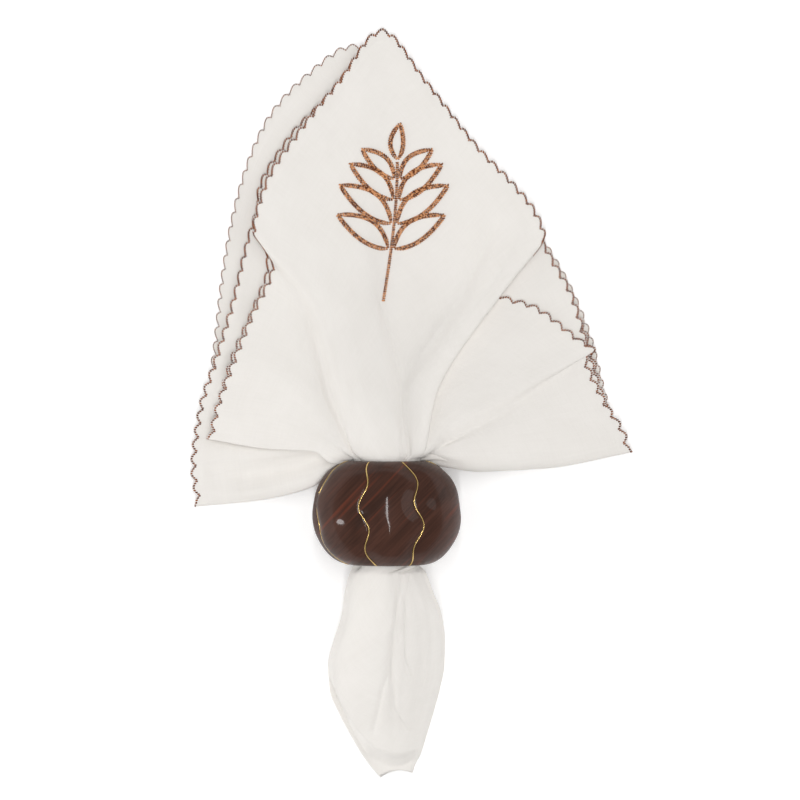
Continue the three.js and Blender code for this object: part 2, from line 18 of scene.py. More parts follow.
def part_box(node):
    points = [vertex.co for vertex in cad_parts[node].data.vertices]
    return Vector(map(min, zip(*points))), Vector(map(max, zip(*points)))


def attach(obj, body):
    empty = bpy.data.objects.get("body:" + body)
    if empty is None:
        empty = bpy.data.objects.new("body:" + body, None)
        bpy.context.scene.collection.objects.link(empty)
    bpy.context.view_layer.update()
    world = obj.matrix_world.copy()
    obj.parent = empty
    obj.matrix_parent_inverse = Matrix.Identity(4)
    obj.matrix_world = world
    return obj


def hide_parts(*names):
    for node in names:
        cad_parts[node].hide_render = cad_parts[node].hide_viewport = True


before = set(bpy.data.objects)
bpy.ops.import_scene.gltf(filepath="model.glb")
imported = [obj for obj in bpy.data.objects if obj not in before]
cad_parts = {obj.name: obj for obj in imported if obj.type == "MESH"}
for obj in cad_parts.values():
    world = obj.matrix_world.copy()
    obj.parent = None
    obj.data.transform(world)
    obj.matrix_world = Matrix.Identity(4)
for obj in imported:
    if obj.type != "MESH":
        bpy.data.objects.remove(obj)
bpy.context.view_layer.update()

MM = 0.001
log = logging.getLogger("napkin")

Array = np.ndarray
Point = tuple[float, float]
Place = tuple[float, float, float]
Form = tuple[np.ndarray, list]
Material = bpy.types.Material
Thing = bpy.types.Object
Socket = bpy.types.NodeSocket

RING_LOW, RING_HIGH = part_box("ring_body")
RING_HALF_LENGTH = RING_HIGH[1] / MM
RING_RADIUS = 36.7
FLAT_SPOT_DEPTH = 1.3
RIM_RADIUS = 17.8
AXIS_HEIGHT = RING_RADIUS - FLAT_SPOT_DEPTH
ABOVE_ALL = 0.2


class Slot(Enum):
    """The record's material slots."""

    LINEN = "linen"
    THREAD = "thread"
    WOOD = "dark_wood"
    BRASS = "brass_wire"


class Layer(Enum):
    """The napkin's four layers, from the one on top to the one on the table."""

    FRONT = 1
    SECOND = 2
    THIRD = 3
    BACK = 4


def curve_through(knots: Sequence[float], rows: Array, places: Array) -> Array:
    """Follow a cubic curve through rows of numbers that adds no waves between them.

    Args:
        knots: The place of each row along the curve, rising.
        rows: The rows, with the first axis along the curve.
        places: Where along the curve to read it.

    Returns:
        One row for each place.
    """
    knots = np.asarray(knots, float)
    rows = np.asarray(rows, float)
    places = np.asarray(places, float)
    spread = (-1,) + (1,) * (rows.ndim - 1)
    spans = np.diff(knots)
    slopes = np.diff(rows, axis=0) / spans.reshape(spread)
    tangents = np.zeros_like(rows)
    tangents[0] = slopes[0]
    tangents[-1] = slopes[-1]
    if len(knots) > 2:
        before, after = slopes[:-1], slopes[1:]
        weight_before = (2 * spans[1:] + spans[:-1]).reshape(spread)
        weight_after = (spans[1:] + 2 * spans[:-1]).reshape(spread)
        alike = before * after > 0
        divisor = weight_before / np.where(alike, before, 1) + weight_after / np.where(alike, after, 1)
        tangents[1:-1] = np.where(alike, (weight_before + weight_after) / divisor, 0)
    index = np.clip(np.searchsorted(knots, places, side="right") - 1, 0, len(spans) - 1)
    span = spans[index].reshape(spread)
    t = ((places - knots[index]) / spans[index]).reshape(spread)
    back = 1 - t
    return (
        rows[index] * (1 + 2 * t) * back**2
        + tangents[index] * span * t * back**2
        + rows[index + 1] * t**2 * (3 - 2 * t)
        - tangents[index + 1] * span * t**2 * back
    )


def unit(vectors: Array) -> Array:
    """Scale vectors to a length of one."""
    return vectors / np.maximum(np.linalg.norm(vectors, axis=-1, keepdims=True), 1e-9)


def travelled(points: Array) -> Array:
    """How far along a line of points each one lies."""
    return np.concatenate([[0], np.cumsum(np.linalg.norm(np.diff(points, axis=0), axis=1))])


def away_from_path(x: Array, y: Array, path: Sequence[Point]) -> Array:
    """Measure how far points are from a path in plan.

    Args:
        x: The points' x.
        y: The points' y.
        path: The path's corners.

    Returns:
        The distance of each point.
    """
    nearest = np.full(np.shape(x), np.inf)
    for (x0, y0), (x1, y1) in zip(path, path[1:]):
        run_x, run_y = x1 - x0, y1 - y0
        share = np.clip(((x - x0) * run_x + (y - y0) * run_y) / (run_x**2 + run_y**2), 0, 1)
        nearest = np.minimum(nearest, np.hypot(x - x0 - share * run_x, y - y0 - share * run_y))
    return nearest


def new_piece(name: str, points: Array, faces: list, material: Material) -> Thing:
    """Make one smooth piece of the part and let it ride on the part's body.

    Args:
        name: The piece's name.
        points: Its points in millimetres.
        faces: Its faces, as lists of point numbers.
        material: Its material.

    Returns:
        The new object.
    """
    mesh = bpy.data.meshes.new(name)
    mesh.from_pydata((np.asarray(points) * MM).tolist(), [], faces)
    mesh.update()
    mesh.polygons.foreach_set("use_smooth", np.ones(len(mesh.polygons), bool))
    piece = bpy.data.objects.new(name, mesh)
    bpy.context.collection.objects.link(piece)
    return dress(piece, material)


def dress(piece: Thing, material: Material) -> Thing:
    """Give a piece its material and its body."""
    piece.data.materials.clear()
    piece.data.materials.append(material)
    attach(piece, "root")
    return piece


@dataclass(frozen=True)
class Fold:
    """One fold of the front layer as a line from the ring to the hem.

    The throat's place is given as shares of the throat's radius. The other places are x, y and the
    lift over the even height of the layer. Across is the fold's place across the tail, 0 to 1. The
    lip is where a fold that hugs the ring's shoulder leaves it.
    """

    name: str
    throat: Point
    near: Place
    far: Place
    hem: Place
    across: float
    lip: Point | None = None


FRONT_TIP = 10
FRONT_FOLDS = (
    Fold("left edge", (-1.00, 0.03), (-36.3, 30.4, 0.3), (-59, 31.5, 0.2), (-89.5, 36.5, 0.1), 0,
         (-25.4, 24.6)),
    Fold("left panel low", (-0.98, 0.18), (-33.5, 36, 0.9), (-55.5, 44, 0.7), (-86.5, 50, 0.2), 0.015),
    Fold("left panel middle", (-0.92, 0.30), (-30, 41.5, 1.3), (-49.5, 60, 1.1), (-79, 72, 0.3), 0.035),
    Fold("left panel high", (-0.83, 0.35), (-27.5, 47.5, 0.9), (-43, 77, 0.7), (-68.5, 98.5, 0.3), 0.055),
    Fold("left valley", (-0.75, 0.36), (-25.5, 52.5, 0.1), (-36.5, 88, 0.1), (-58, 124, 0.2), 0.075),
    Fold("left wall", (-0.76, 0.51), (-24.5, 55, 3.2), (-35, 92, 2.7), (-62.5, 132, 1.7), 0.09),
    Fold("kite left edge", (-0.72, 0.66), (-22.5, 57.5, 7.2), (-33.5, 97, 6.2), (-67.5, 140, 3.2), 0.11),
    Fold("left tube shoulder", (-0.51, 0.84), (-18.5, 62, 10.7), (-30.5, 109.5, 7.7),
         (-61.6, 163.5, 2.0), 0.18),
    Fold("left tube crest", (-0.12, 0.98), (-12, 67, 11.7), (-21, 123.5, 6.7), (-45, 189.6, 1.1), 0.32),
    Fold("left tube inside", (0.27, 0.90), (-2, 67.5, 9.7), (-11.5, 137, 5.2), (-24.5, 215, 0.7), 0.46),
    Fold("tip", (0.43, 0.76), (4.5, 62.5, 6.9), (-3, 144.5, 3.5), (-2.5, 240.5, 0.5), 0.52),
    Fold("centre floor", (0.49, 0.70), (7, 61.5, 6.1), (18.5, 137, 1.9), (19, 215.5, 0.5), 0.545),
    Fold("centre right", (0.55, 0.70), (9, 60.5, 6.2), (39, 123.5, 2.1), (46, 181.5, 0.7), 0.57),
    Fold("right tube inside", (0.62, 0.76), (12.5, 60.5, 7.4), (48, 120.5, 4.3), (63.5, 163.5, 1.3), 0.59),
    Fold("right tube crest", (0.70, 0.71), (18.5, 60.5, 8.7), (56, 117.5, 6.5), (74.5, 149.5, 2.9), 0.615),
    Fold("kite right edge", (0.81, 0.58), (24.5, 59.5, 6.3), (56, 107.5, 5.3), (79, 137.5, 3.7), 0.64),
    Fold("edge turned under", (0.86, 0.49), (24, 58, 4.1), (52.5, 103, 3.3), (75, 130, 2.3), 0.655),
    Fold("hidden turn", (0.77, 0.41), (19, 56, 1.9), (43, 97, 1.7), (61, 118.5, 1.3), 0.67),
    Fold("panel coming out", (0.88, 0.34), (23, 54, 0.3), (46, 89.5, 0.2), (56.5, 109.5, 0.1), 0.70),
    Fold("right panel middle", (0.94, 0.27), (26.5, 50, 1.3), (58.5, 79.5, 1.1), (74, 102.6, 0.3), 0.76),
    Fold("right panel high", (0.97, 0.19), (30, 45, 1.9), (70, 68.5, 1.7), (95.5, 86.7, 0.5), 0.81),
    Fold("right step", (0.99, 0.12), (31.5, 41, 1.7), (72.5, 63, 1.7), (104.3, 80, 0.9), 0.84),
    Fold("right crease", (0.985, 0.05), (31.5, 35.5, 0.1), (69, 58, 0.1), (100, 77.6, 0.1), 0.86),
    Fold("right lower panel", (0.995, -0.03), (33.5, 33, 1.3), (75.5, 44.5, 1.5), (110.3, 53.5, 0.4), 0.90),
    Fold("right low roll", (0.995, -0.11), (37, 26.5, 1.9), (78.5, 29, 1.7), (119.8, 37.5, 0.2), 0.95),
    Fold("right edge", (0.97, -0.20), (45.6, 21.2, -0.1), (79.5, 22.7, 0.1), (121.5, 30.5, 0.1), 1,
         (25.5, 24)),
)


@dataclass(frozen=True)
class LowerLayer:
    """A layer under the front one, by its mouth in the ring and the points of its hem.

    Half width, height and sag shape its mouth as shares of the throat's radius. Rise, reach and power
    shape its fall from the ring to the table. Left and right are the points that its edges pass, from
    where they leave the ring's shoulder.
    """

    tip: int
    half_width: float
    height: float
    sag: float
    lip_step: float
    rise: float
    reach: float
    power: float
    left: tuple[Point, ...]
    right: tuple[Point, ...]
    hem: tuple[Point, ...]


LOWER_LAYERS = {
    Layer.SECOND: LowerLayer(
        7, 0.82, -0.05, 0.01, 2, AXIS_HEIGHT - 1, 66, 2,
        ((-23.5, 26), (-36, 30), (-59.5, 31.5)), ((23, 26.5), (37, 24), (78.5, 24)),
        ((-90, 36.5), (-78.5, 77), (-66.8, 104), (-60.5, 123), (-65.5, 156), (-50.9, 185.6),
         (-30, 208), (-2.5, 237.5), (21.5, 208.5), (49, 174.5), (73, 143.5), (84.5, 124),
         (93.3, 108), (103.3, 74), (110, 54), (119.5, 32)),
    ),
    Layer.THIRD: LowerLayer(
        8, 0.80, -0.17, 0.05, 2, AXIS_HEIGHT - 4, 64, 2,
        ((-24.5, 24), (-36.2, 14), (-64.5, 6.5)), ((23, 26.5), (37, 24), (78.5, 24)),
        ((-96, 3.5), (-98.5, 21), (-95, 50), (-87, 76), (-79.5, 100.5), (-66.5, 149),
         (-47, 185), (-25.5, 209), (-4.5, 236.5), (31.5, 195.5), (56, 166), (77, 135.5),
         (91, 111.5), (100.3, 89.5), (111.2, 51), (119.5, 32)),
    ),
    Layer.BACK: LowerLayer(
        8, 0.93, -0.29, 0.66, 1, AXIS_HEIGHT - 15.5, 44, 2.2,
        ((-24.5, 24), (-36.2, 14.5), (-63.5, 7)), ((25, 24.5), (45.6, 21.2), (80, 22.7)),
        ((-96, 3.5), (-98.5, 22), (-95, 45), (-89, 71), (-83, 120), (-77, 152),
         (-62, 193.5), (-40.5, 218.5), (-17.5, 233), (16.5, 206), (51.5, 170), (78, 136.5),
         (93, 110.5), (102, 88.5), (112, 51), (121.5, 30.5)),
    ),
}


@dataclass(frozen=True)
class TailSection:
    """The tail cut across at a y: its sides, its bottom, middle and top, and its inner tongue's width.

    The slant is how far the cut moves along y for each millimetre across, and the hollow is how far
    it bends up in its middle.
    """

    y: float
    left: float
    right: float
    bottom: float
    middle: float
    top: float
    tongue: float
    slant: float = 0.0
    hollow: float = 0.0


TAIL_SECTIONS = (
    TailSection(-28.8, -17.5, 17, 18.8, 32.5, 51.6, 31),
    TailSection(-38, -20, 20.6, 15, 29.7, 50, 36),
    TailSection(-51, -22, 25.2, 7.5, 23.7, 46, 42),
    TailSection(-64, -26, 26.8, 2, 18.4, 41, 46),
    TailSection(-76, -28.8, 26.6, 0.6, 15.2, 35.5, 47),
    TailSection(-88.5, -28, 24.3, 0.6, 12.7, 29.5, 43),
    TailSection(-101, -23.2, 21, 0.6, 10, 23.5, 33),
    TailSection(-112, -17.6, 17.8, 0.6, 7.2, 18.4, 22),
    TailSection(-121.5, -12.1, 14.9, 0.6, 5, 15.6, 12),
    TailSection(-128, -6.8, 12, 0.6, 3.5, 14, 5, 0.08, 0.7),
    TailSection(-131.6, -3.2, 11.2, 0.6, 2.7, 12.5, 3, 0.175, 2.0),
)


@dataclass(frozen=True)
class Crease:
    """A long dent in a layer, by its path in plan, its depth and its half width."""

    depth: float
    reach: float
    path: tuple[Point, ...]


TAIL_CREASES = (
    Crease(0.7, 1.1, ((7.2, -29), (5.5, -38), (3.8, -51), (2.8, -60), (2, -68), (1.8, -74))),
    Crease(1.2, 1.8, ((2.6, -60), (2, -68), (1.7, -75), (1.9, -82))),
    Crease(0.7, 1.3, ((1.7, -75), (0.4, -80), (-2.1, -86), (-4.4, -98), (-6.8, -108))),
    Crease(0.7, 1.4, ((1.9, -78), (2.6, -84), (3.7, -96), (7.2, -103), (10.7, -108))),
    Crease(0.65, 0.9, ((10.6, -29), (9.5, -36), (8.4, -48), (8, -60), (8.4, -69), (10.1, -76),
                       (11.6, -81))),
    Crease(0.5, 1.4, ((14, -29), (17.5, -36), (20.5, -45), (21.7, -54), (20.6, -62), (19.5, -74),
                      (18.3, -82))),
    Crease(0.45, 1.0, ((15.7, -29), (22.2, -43), (25, -57), (25.5, -62))),
)

FAN_CREASES = (
    Crease(0.6, 1.7, ((-57.9, 124), (-44.9, 111.1), (-37, 89.7), (-32, 68.3), (-29.5, 56.4), (-21.7, 41.6),
                      (-14, 30))),
    Crease(0.8, 1.2, ((7.4, 28), (6.8, 45), (6.3, 62.3), (2.8, 79.7), (-3.6, 102))),
    Crease(1.0, 2.4, ((6.3, 60), (21.2, 79.7), (36, 102), (48.5, 129.3), (54, 142))),
    Crease(0.8, 1.6, ((98, 75.7), (75.9, 62.3), (56, 47.5), (41.2, 40.1), (27, 32.6))),
)

THIRD_CREASES = (
    Crease(3.2, 3.8, ((-30, 27), (-37.5, 26), (-56.7, 20.7), (-72, 16))),
    Crease(1.2, 2.2, ((-34, 17), (-48, 13.5), (-60, 10.5))),
)


@dataclass
class Strand:
    """One layer laid out on its columns, from the tail's last section to the hem's inner line."""

    layer: Layer
    forward: bool
    shares: Array
    rows: Array
    hem_shares: Array
    hem_rows: Array


@dataclass
class Napkin:
    """The cloth: one closed sheet whose four layers meet in rounded edges."""

    side: float = 533.0
    thickness: float = 0.5
    lowest_layer: float = 0.58
    layer_step: float = 1.1
    throat_radius: float = 15.9
    throat_half_length: float = 26.0
    waist_radius: float = 16.0
    waist_half_length: float = 12.0
    lip_length: float = 2.5
    lip_flare: float = 1.27
    ring_clear: float = 0.5
    held_radius: float = 16.6
    lip_reach: float = 26.0
    near_share: float = 0.32
    far_share: float = 0.68
    knots: tuple[float, ...] = (0, 0.09, 0.35, 0.7, 1)
    tail_end: Place = (4.3, -129.4, 2.6)
    tail_fullness: float = 2.3
    dome_end: Place = (4.2, -120.6, 0.036)
    tip_height: float = 15.2
    tip_drop: float = 3.0
    tip_run: float = 2.2
    tip_fall: float = 1.05
    tip_half_width: float = 15.0
    tip_fade: float = 7.0
    tongue_inset: float = 0.6
    edge_bulge: float = 1.6
    edge_points: int = 3
    front_spacing: float = 2.4
    back_spacing: float = 7.0
    hidden_spacing: float = 5.2
    least_parts: int = 3
    fan_rows: int = 44
    tail_rows: int = 76
    throat_rows: int = 7
    fan_samples: int = 160
    row_growth: float = 1.25
    hem_probe: float = 0.94
    coarse_inset: float = 7.5
    hem_insets: tuple[float, ...] = (5.5, 3.2, 1.3, 0.0)
    scallop_shares: tuple[float, ...] = (0.0, 0.3, 0.8, 1.0)
    scallop_pitch: float = 7.3
    scallop_depth: float = 2.4
    scallop_points: int = 8
    thin_hem: float = 0.6
    pleats: int = 12
    pleat_room: float = 0.85
    pleat_clear: float = 1.8
    pleat_fade: float = 0.06
    pleat_smoothing: tuple[tuple[int, int], ...] = ((0, 2), (1, 5))
    pleat_start_rows: int = 3
    hem_samples: int = 400
    bulge_share: float = 0.9
    cap_angles: tuple[float, ...] = (12, 30, 50)
    edge_loops: dict = field(default_factory=dict)

    @property
    def outer_step(self) -> float:
        """How far an outer layer lies from the middle of the four."""
        return 1.5 * self.layer_step

    def layer_floor(self, layer: Layer) -> float:
        """The height at which a layer lies flat on those below it."""
        return self.lowest_layer + (Layer.BACK.value - layer.value) * self.layer_step

    def layer_height(self, layer: Layer, x: Array, y: Array) -> Array:
        """The even height of a lower layer, which falls from the ring to the table.

        Args:
            layer: One of the three lower layers.
            x: The points' x.
            y: The points' y.

        Returns:
            The height at each point.
        """
        form = LOWER_LAYERS[layer]
        distance = np.hypot(x, y - self.throat_half_length)
        low = self.layer_floor(layer)
        return low + (form.rise - low) * np.exp(-((distance / form.reach) ** form.power))

    def front_lines(self, places: Array) -> Array:
        """Lay out the front layer's folds.

        Args:
            places: Shares of the way from the ring to the hem.

        Returns:
            The points, by fold, place and coordinate.
        """
        lines = []
        for fold in FRONT_FOLDS:
            x, rise = (share * self.throat_radius for share in fold.throat)
            even = self.layer_height(Layer.SECOND, x, self.throat_half_length)
            lift = AXIS_HEIGHT + rise - even - self.layer_step
            mouth = (x, self.throat_half_length, lift)
            lip = fold.lip or (x * self.lip_flare, self.throat_half_length + self.lip_length)
            lip = (*lip, lift)
            line = curve_through(self.knots, [mouth, lip, fold.near, fold.far, fold.hem], places)
            line[:, 2] += self.layer_height(Layer.SECOND, line[:, 0], line[:, 1]) + self.layer_step
            lines.append(line)
        return np.array(lines)

    def lower_lines(self, layer: Layer, places: Array) -> Array:
        """Lay out the lines of a lower layer.

        Args:
            layer: One of the three lower layers.
            places: Shares of the way from the ring to the hem.

        Returns:
            The points, by line, place and coordinate.
        """
        form = LOWER_LAYERS[layer]
        last = len(form.hem) - 1
        lines = []
        for index, hem in enumerate(form.hem):
            angle = math.pi * (1 - index / last)
            x = form.half_width * self.throat_radius * math.cos(angle)
            z = AXIS_HEIGHT + (form.height - form.sag * math.sin(angle)) * self.throat_radius
            lip_y = self.throat_half_length + self.lip_length + form.lip_step
            lip = np.array([x * self.lip_flare, lip_y])
            way = np.array(hem) - lip
            passed = [lip + way * share for share in (0, self.near_share, self.far_share)]
            if index == 0:
                passed = form.left
            if index == last:
                passed = form.right
            plan = curve_through(self.knots, [(x, self.throat_half_length), *passed, hem], places)
            lift = z - self.layer_height(layer, x, self.throat_half_length)
            reach = np.hypot(plan[:, 0], plan[:, 1] - self.throat_half_length)
            beyond = np.maximum(reach - abs(x), 0)
            height = self.layer_height(layer, plan[:, 0], plan[:, 1])
            height = height + lift * np.exp(-((beyond / self.lip_reach) ** 2))
            lines.append(np.column_stack([plan, height]))
        return np.array(lines)

    def hem_run(self, layer: Layer) -> tuple[Array, Array]:
        """The shares of a layer's lines along its hem, and their places across the tail."""
        if layer is Layer.FRONT:
            points = np.array([fold.hem[:2] for fold in FRONT_FOLDS], float)
            tip = FRONT_TIP
            across = np.array([fold.across for fold in FRONT_FOLDS])
        else:
            points = np.array(LOWER_LAYERS[layer].hem, float)
            tip = LOWER_LAYERS[layer].tip
            across = np.linspace(0, 1, len(points))
        run = travelled(points)
        later = 0.5 + 0.5 * (run - run[tip]) / (run[-1] - run[tip])
        shares = np.where(np.arange(len(run)) <= tip, 0.5 * run / run[tip], later)
        return shares, across

    def fan(self, layer: Layer, shares: Array, places: Array) -> Array:
        """Lay out a layer in the fan.

        Args:
            layer: The layer.
            shares: Where its columns are along the hem.
            places: Where its rows are from the ring to the hem.

        Returns:
            The points, by row, column and coordinate.
        """
        lines = self.front_lines(places) if layer is Layer.FRONT else self.lower_lines(layer, places)
        knots, _ = self.hem_run(layer)
        rows = curve_through(knots, lines, shares).transpose(1, 0, 2)
        self.keep_clear(rows, 1)
        return rows

    def columns(self, layer: Layer) -> Array:
        """The places of a layer's columns along its hem, closer where its folds are close."""
        knots, _ = self.hem_run(layer)
        spacing = self.hidden_spacing
        if layer is Layer.FRONT:
            spacing = self.front_spacing
        if layer is Layer.BACK:
            spacing = self.back_spacing
        least = self.least_parts if layer is Layer.FRONT else 1
        shares = []
        for start, end in zip(knots, knots[1:]):
            parts = max(least, round((end - start) * self.side / spacing))
            shares.extend(start + (end - start) * part / parts for part in range(parts))
        return np.array([*shares, 1.0])

    def tail_rows_of(self, layer: Layer, across: Array) -> Array:
        """Lay out a layer on the tail's sections.

        Args:
            layer: The layer.
            across: The place of each column across the tail.

        Returns:
            The points, by section, column and coordinate.
        """
        rows = []
        outer = self.outer_step
        swell = np.sqrt(np.maximum(1 - np.abs(2 * across - 1) ** self.tail_fullness, 0))
        for section in TAIL_SECTIONS:
            middle = max(section.middle, section.bottom + outer)
            x = section.left + (section.right - section.left) * across
            if layer is Layer.FRONT:
                z = middle + outer + (section.top - middle - outer) * swell
            elif layer is Layer.BACK:
                z = middle - outer - (middle - outer - section.bottom) * swell
            else:
                x = section.left + self.tongue_inset + section.tongue * across
                side = 0.5 if layer is Layer.SECOND else -0.5
                z = np.full_like(across, middle + side * self.layer_step)
            y = section.y + section.slant * (x - self.tail_end[0])
            share = (x - section.left) / (section.right - section.left)
            y = y + section.hollow * (1 - (2 * share - 1) ** 2)
            rows.append(np.column_stack([x, y, z]))
        return np.array(rows)

    def throat(self, layer: Layer, mouth: Array) -> Array:
        """Carry a layer's mouth through the ring.

        Args:
            layer: The layer; not used.
            mouth: Its points at the ring's upper rim.

        Returns:
            Four rows, from the lower rim to the upper one.
        """
        rows = []
        for y, radius in (
            (-self.throat_half_length, self.throat_radius),
            (-self.waist_half_length, self.waist_radius),
            (self.waist_half_length, self.waist_radius),
            (self.throat_half_length, self.throat_radius),
        ):
            grown = radius / self.throat_radius
            z = AXIS_HEIGHT + (mouth[:, 2] - AXIS_HEIGHT) * grown
            rows.append(np.column_stack([mouth[:, 0] * grown, np.full(len(mouth), y), z]))
        return np.array(rows)

    def pleat(self, strand: Strand, facing: Strand, up: bool) -> None:
        """Gather a hidden layer in pleats that fill the room between it and the layer that it faces.

        Args:
            strand: The hidden layer.
            facing: The outer layer on that side of it.
            up: Whether the outer layer lies over it.
        """
        rows, count = facing.rows.shape[:2]
        quads = [(row * count + k, row * count + k + 1, (row + 1) * count + k + 1, (row + 1) * count + k)
                 for row in range(rows - 1) for k in range(count - 1)]
        tree = BVHTree.FromPolygons(facing.rows.reshape(-1, 3).tolist(), quads)
        away = Vector((0, 0, 1 if up else -1))
        room = np.zeros(strand.rows.shape[:2])
        for index in np.ndindex(room.shape):
            hit = tree.ray_cast(Vector(strand.rows[index]), away)
            room[index] = 0.0 if hit[0] is None else hit[3]
        free = np.maximum(room - self.pleat_clear, 0)
        for axis, reach in self.pleat_smoothing:
            shifted = [np.roll(free, step, axis) for step in range(-reach, reach + 1)]
            free = np.minimum(free, np.mean(shifted, axis=0))
        across = np.interp(strand.shares, *self.hem_run(strand.layer))
        ripple = 0.5 - 0.5 * np.cos(2 * np.pi * self.pleats * across)
        fade = np.clip(np.minimum(across, 1 - across) / self.pleat_fade, 0, 1)
        fade = fade * np.clip(np.arange(rows) / self.pleat_start_rows, 0, 1)[:, None]
        strand.rows[..., 2] += away.z * self.pleat_room * free * ripple * fade

    def strand(self, layer: Layer, forward: bool) -> Strand:
        """Lay out one layer from the tail to the hem.

        Args:
            layer: The layer.
            forward: Whether a trip round the cloth passes it from left to right.

        Returns:
            The layer's rows on its own columns, and its scalloped hem on finer ones.
        """
        shares = self.columns(layer)
        fan = self.spread_rows(self.fan(layer, shares, np.linspace(0, 1, self.fan_samples)))
        knots, across = self.hem_run(layer)
        across = curve_through(knots, across, shares)
        body = np.concatenate([self.tail_rows_of(layer, across)[::-1], self.throat(layer, fan[0])])
        y_knots = body[:, 0, 1]
        tail_y = np.linspace(y_knots[0], -self.throat_half_length, self.tail_rows)
        throat_y = np.linspace(-self.throat_half_length, self.throat_half_length, self.throat_rows)
        y = np.concatenate([tail_y, throat_y[1:-1]])
        body = curve_through(y_knots, body, y)
        self.keep_clear(body[:self.tail_rows], -1)
        if layer is Layer.FRONT:
            self.press_creases(body, TAIL_CREASES)
            self.press_creases(fan, FAN_CREASES)
            self.press_tip(body)
        if layer is Layer.THIRD:
            self.press_creases(fan, THIRD_CREASES)
        rows = np.concatenate([body, fan])

        hem_shares = self.hem_columns(layer)
        notch = self.notches(hem_shares)
        hem_rows = np.array([
            self.inside_hem(layer, hem_shares, inset + share * notch)
            for inset, share in zip(self.hem_insets, self.scallop_shares)
        ])
        if not forward:
            shares, hem_shares = shares[::-1], hem_shares[::-1]
            rows, hem_rows = rows[:, ::-1], hem_rows[:, ::-1]
        return Strand(layer, forward, shares, rows, hem_shares, hem_rows)

    def spread_rows(self, dense: Array) -> Array:
        """Space a layer's rows along the cloth, from the ring to the hem's inner line.

        Args:
            dense: The layer's points, close together along the cloth.

        Returns:
            Its rows.
        """
        steps = np.linalg.norm(np.diff(dense, axis=0, prepend=dense[:1]), axis=2)
        run = np.cumsum(steps, axis=0)
        places = np.linspace(0, 1, self.fan_rows) ** self.row_growth
        rows = np.empty((self.fan_rows, *dense.shape[1:]))
        for column in range(dense.shape[1]):
            wanted = places * (run[-1, column] - self.coarse_inset)
            for axis in range(3):
                rows[:, column, axis] = np.interp(wanted, run[:, column], dense[:, column, axis])
        return rows

    def keep_clear(self, rows: Array, side: int) -> None:
        """Hold cloth that comes out of the ring off its end and its shoulder.

        Args:
            rows: The cloth's points.
            side: 1 at the ring's upper end, -1 at its lower one.
        """
        radius = np.hypot(rows[..., 0], rows[..., 2] - AXIS_HEIGHT)
        share = np.clip((radius - RIM_RADIUS) / (RING_RADIUS - RIM_RADIUS), 0, 1)
        least = RING_HALF_LENGTH * np.sqrt(1 - share**2) + self.ring_clear
        held = (radius > self.held_radius) & (share < 1)
        out = np.where(held, np.maximum(rows[..., 1] * side, least), rows[..., 1] * side)
        rows[..., 1] = out * side

    def press_tip(self, rows: Array) -> None:
        """Let the tail's dome slope down to its end from an arc."""
        middle, end, bow = self.dome_end
        beyond = end + bow * (rows[..., 0] - middle) ** 2 - rows[..., 1]
        drop = np.clip(beyond / self.tip_run, 0, 1)
        fade = np.clip((self.tip_half_width - np.abs(rows[..., 0] - middle)) / self.tip_fade, 0, 1)
        step = self.tip_drop * drop**2 * (3 - 2 * drop) * fade
        slope = self.tip_height - step - self.tip_fall * np.maximum(beyond, 0)
        knots = [-section.y for section in TAIL_SECTIONS]
        below = [section.middle + self.outer_step for section in TAIL_SECTIONS]
        slope = np.maximum(slope, np.interp(-rows[..., 1], knots, below))
        rows[..., 2] -= np.where(beyond > 0, np.maximum(rows[..., 2] - slope, 0), 0)

    def press_creases(self, rows: Array, creases: Sequence[Crease]) -> None:
        """Press creases into a layer's rows."""
        deepest = np.zeros(rows.shape[:-1])
        for crease in creases:
            away = away_from_path(rows[..., 0], rows[..., 1], crease.path)
            deepest = np.maximum(deepest, crease.depth * np.exp(-((away / crease.reach) ** 2)))
        rows[..., 2] -= deepest

    def hem_columns(self, layer: Layer) -> Array:
        """Even steps along a layer's hem, with the same number of steps to each scallop."""
        shares = []
        for start in (0.0, 0.5):
            samples = np.linspace(start, start + 0.5, self.hem_samples)
            line = self.fan(layer, samples, np.array([1.0]))[0]
            run = travelled(line)
            count = self.scallop_points * round(run[-1] / self.scallop_pitch)
            steps = np.arange(count) / count * run[-1]
            shares.extend(np.interp(steps, run, samples))
        return np.array([*shares, 1.0])

    def notches(self, shares: Array) -> Array:
        """How far the scalloped edge lies inside the hem's line, with a tab at the corner."""
        middle = int(np.argmin(np.abs(shares - 0.5)))
        phase = (np.arange(len(shares)) - middle) / self.scallop_points
        return self.scallop_depth * (1 - np.abs(np.cos(np.pi * phase)))

    def inside_hem(self, layer: Layer, shares: Array, insets: Array) -> Array:
        """Find points that lie a little inside the hem.

        Args:
            layer: The layer.
            shares: Where the points are along the hem.
            insets: How far inside it each one lies.

        Returns:
            The points.
        """
        probe, hem = self.fan(layer, shares, np.array([self.hem_probe, 1.0]))
        return hem + unit(probe - hem) * insets[:, None]

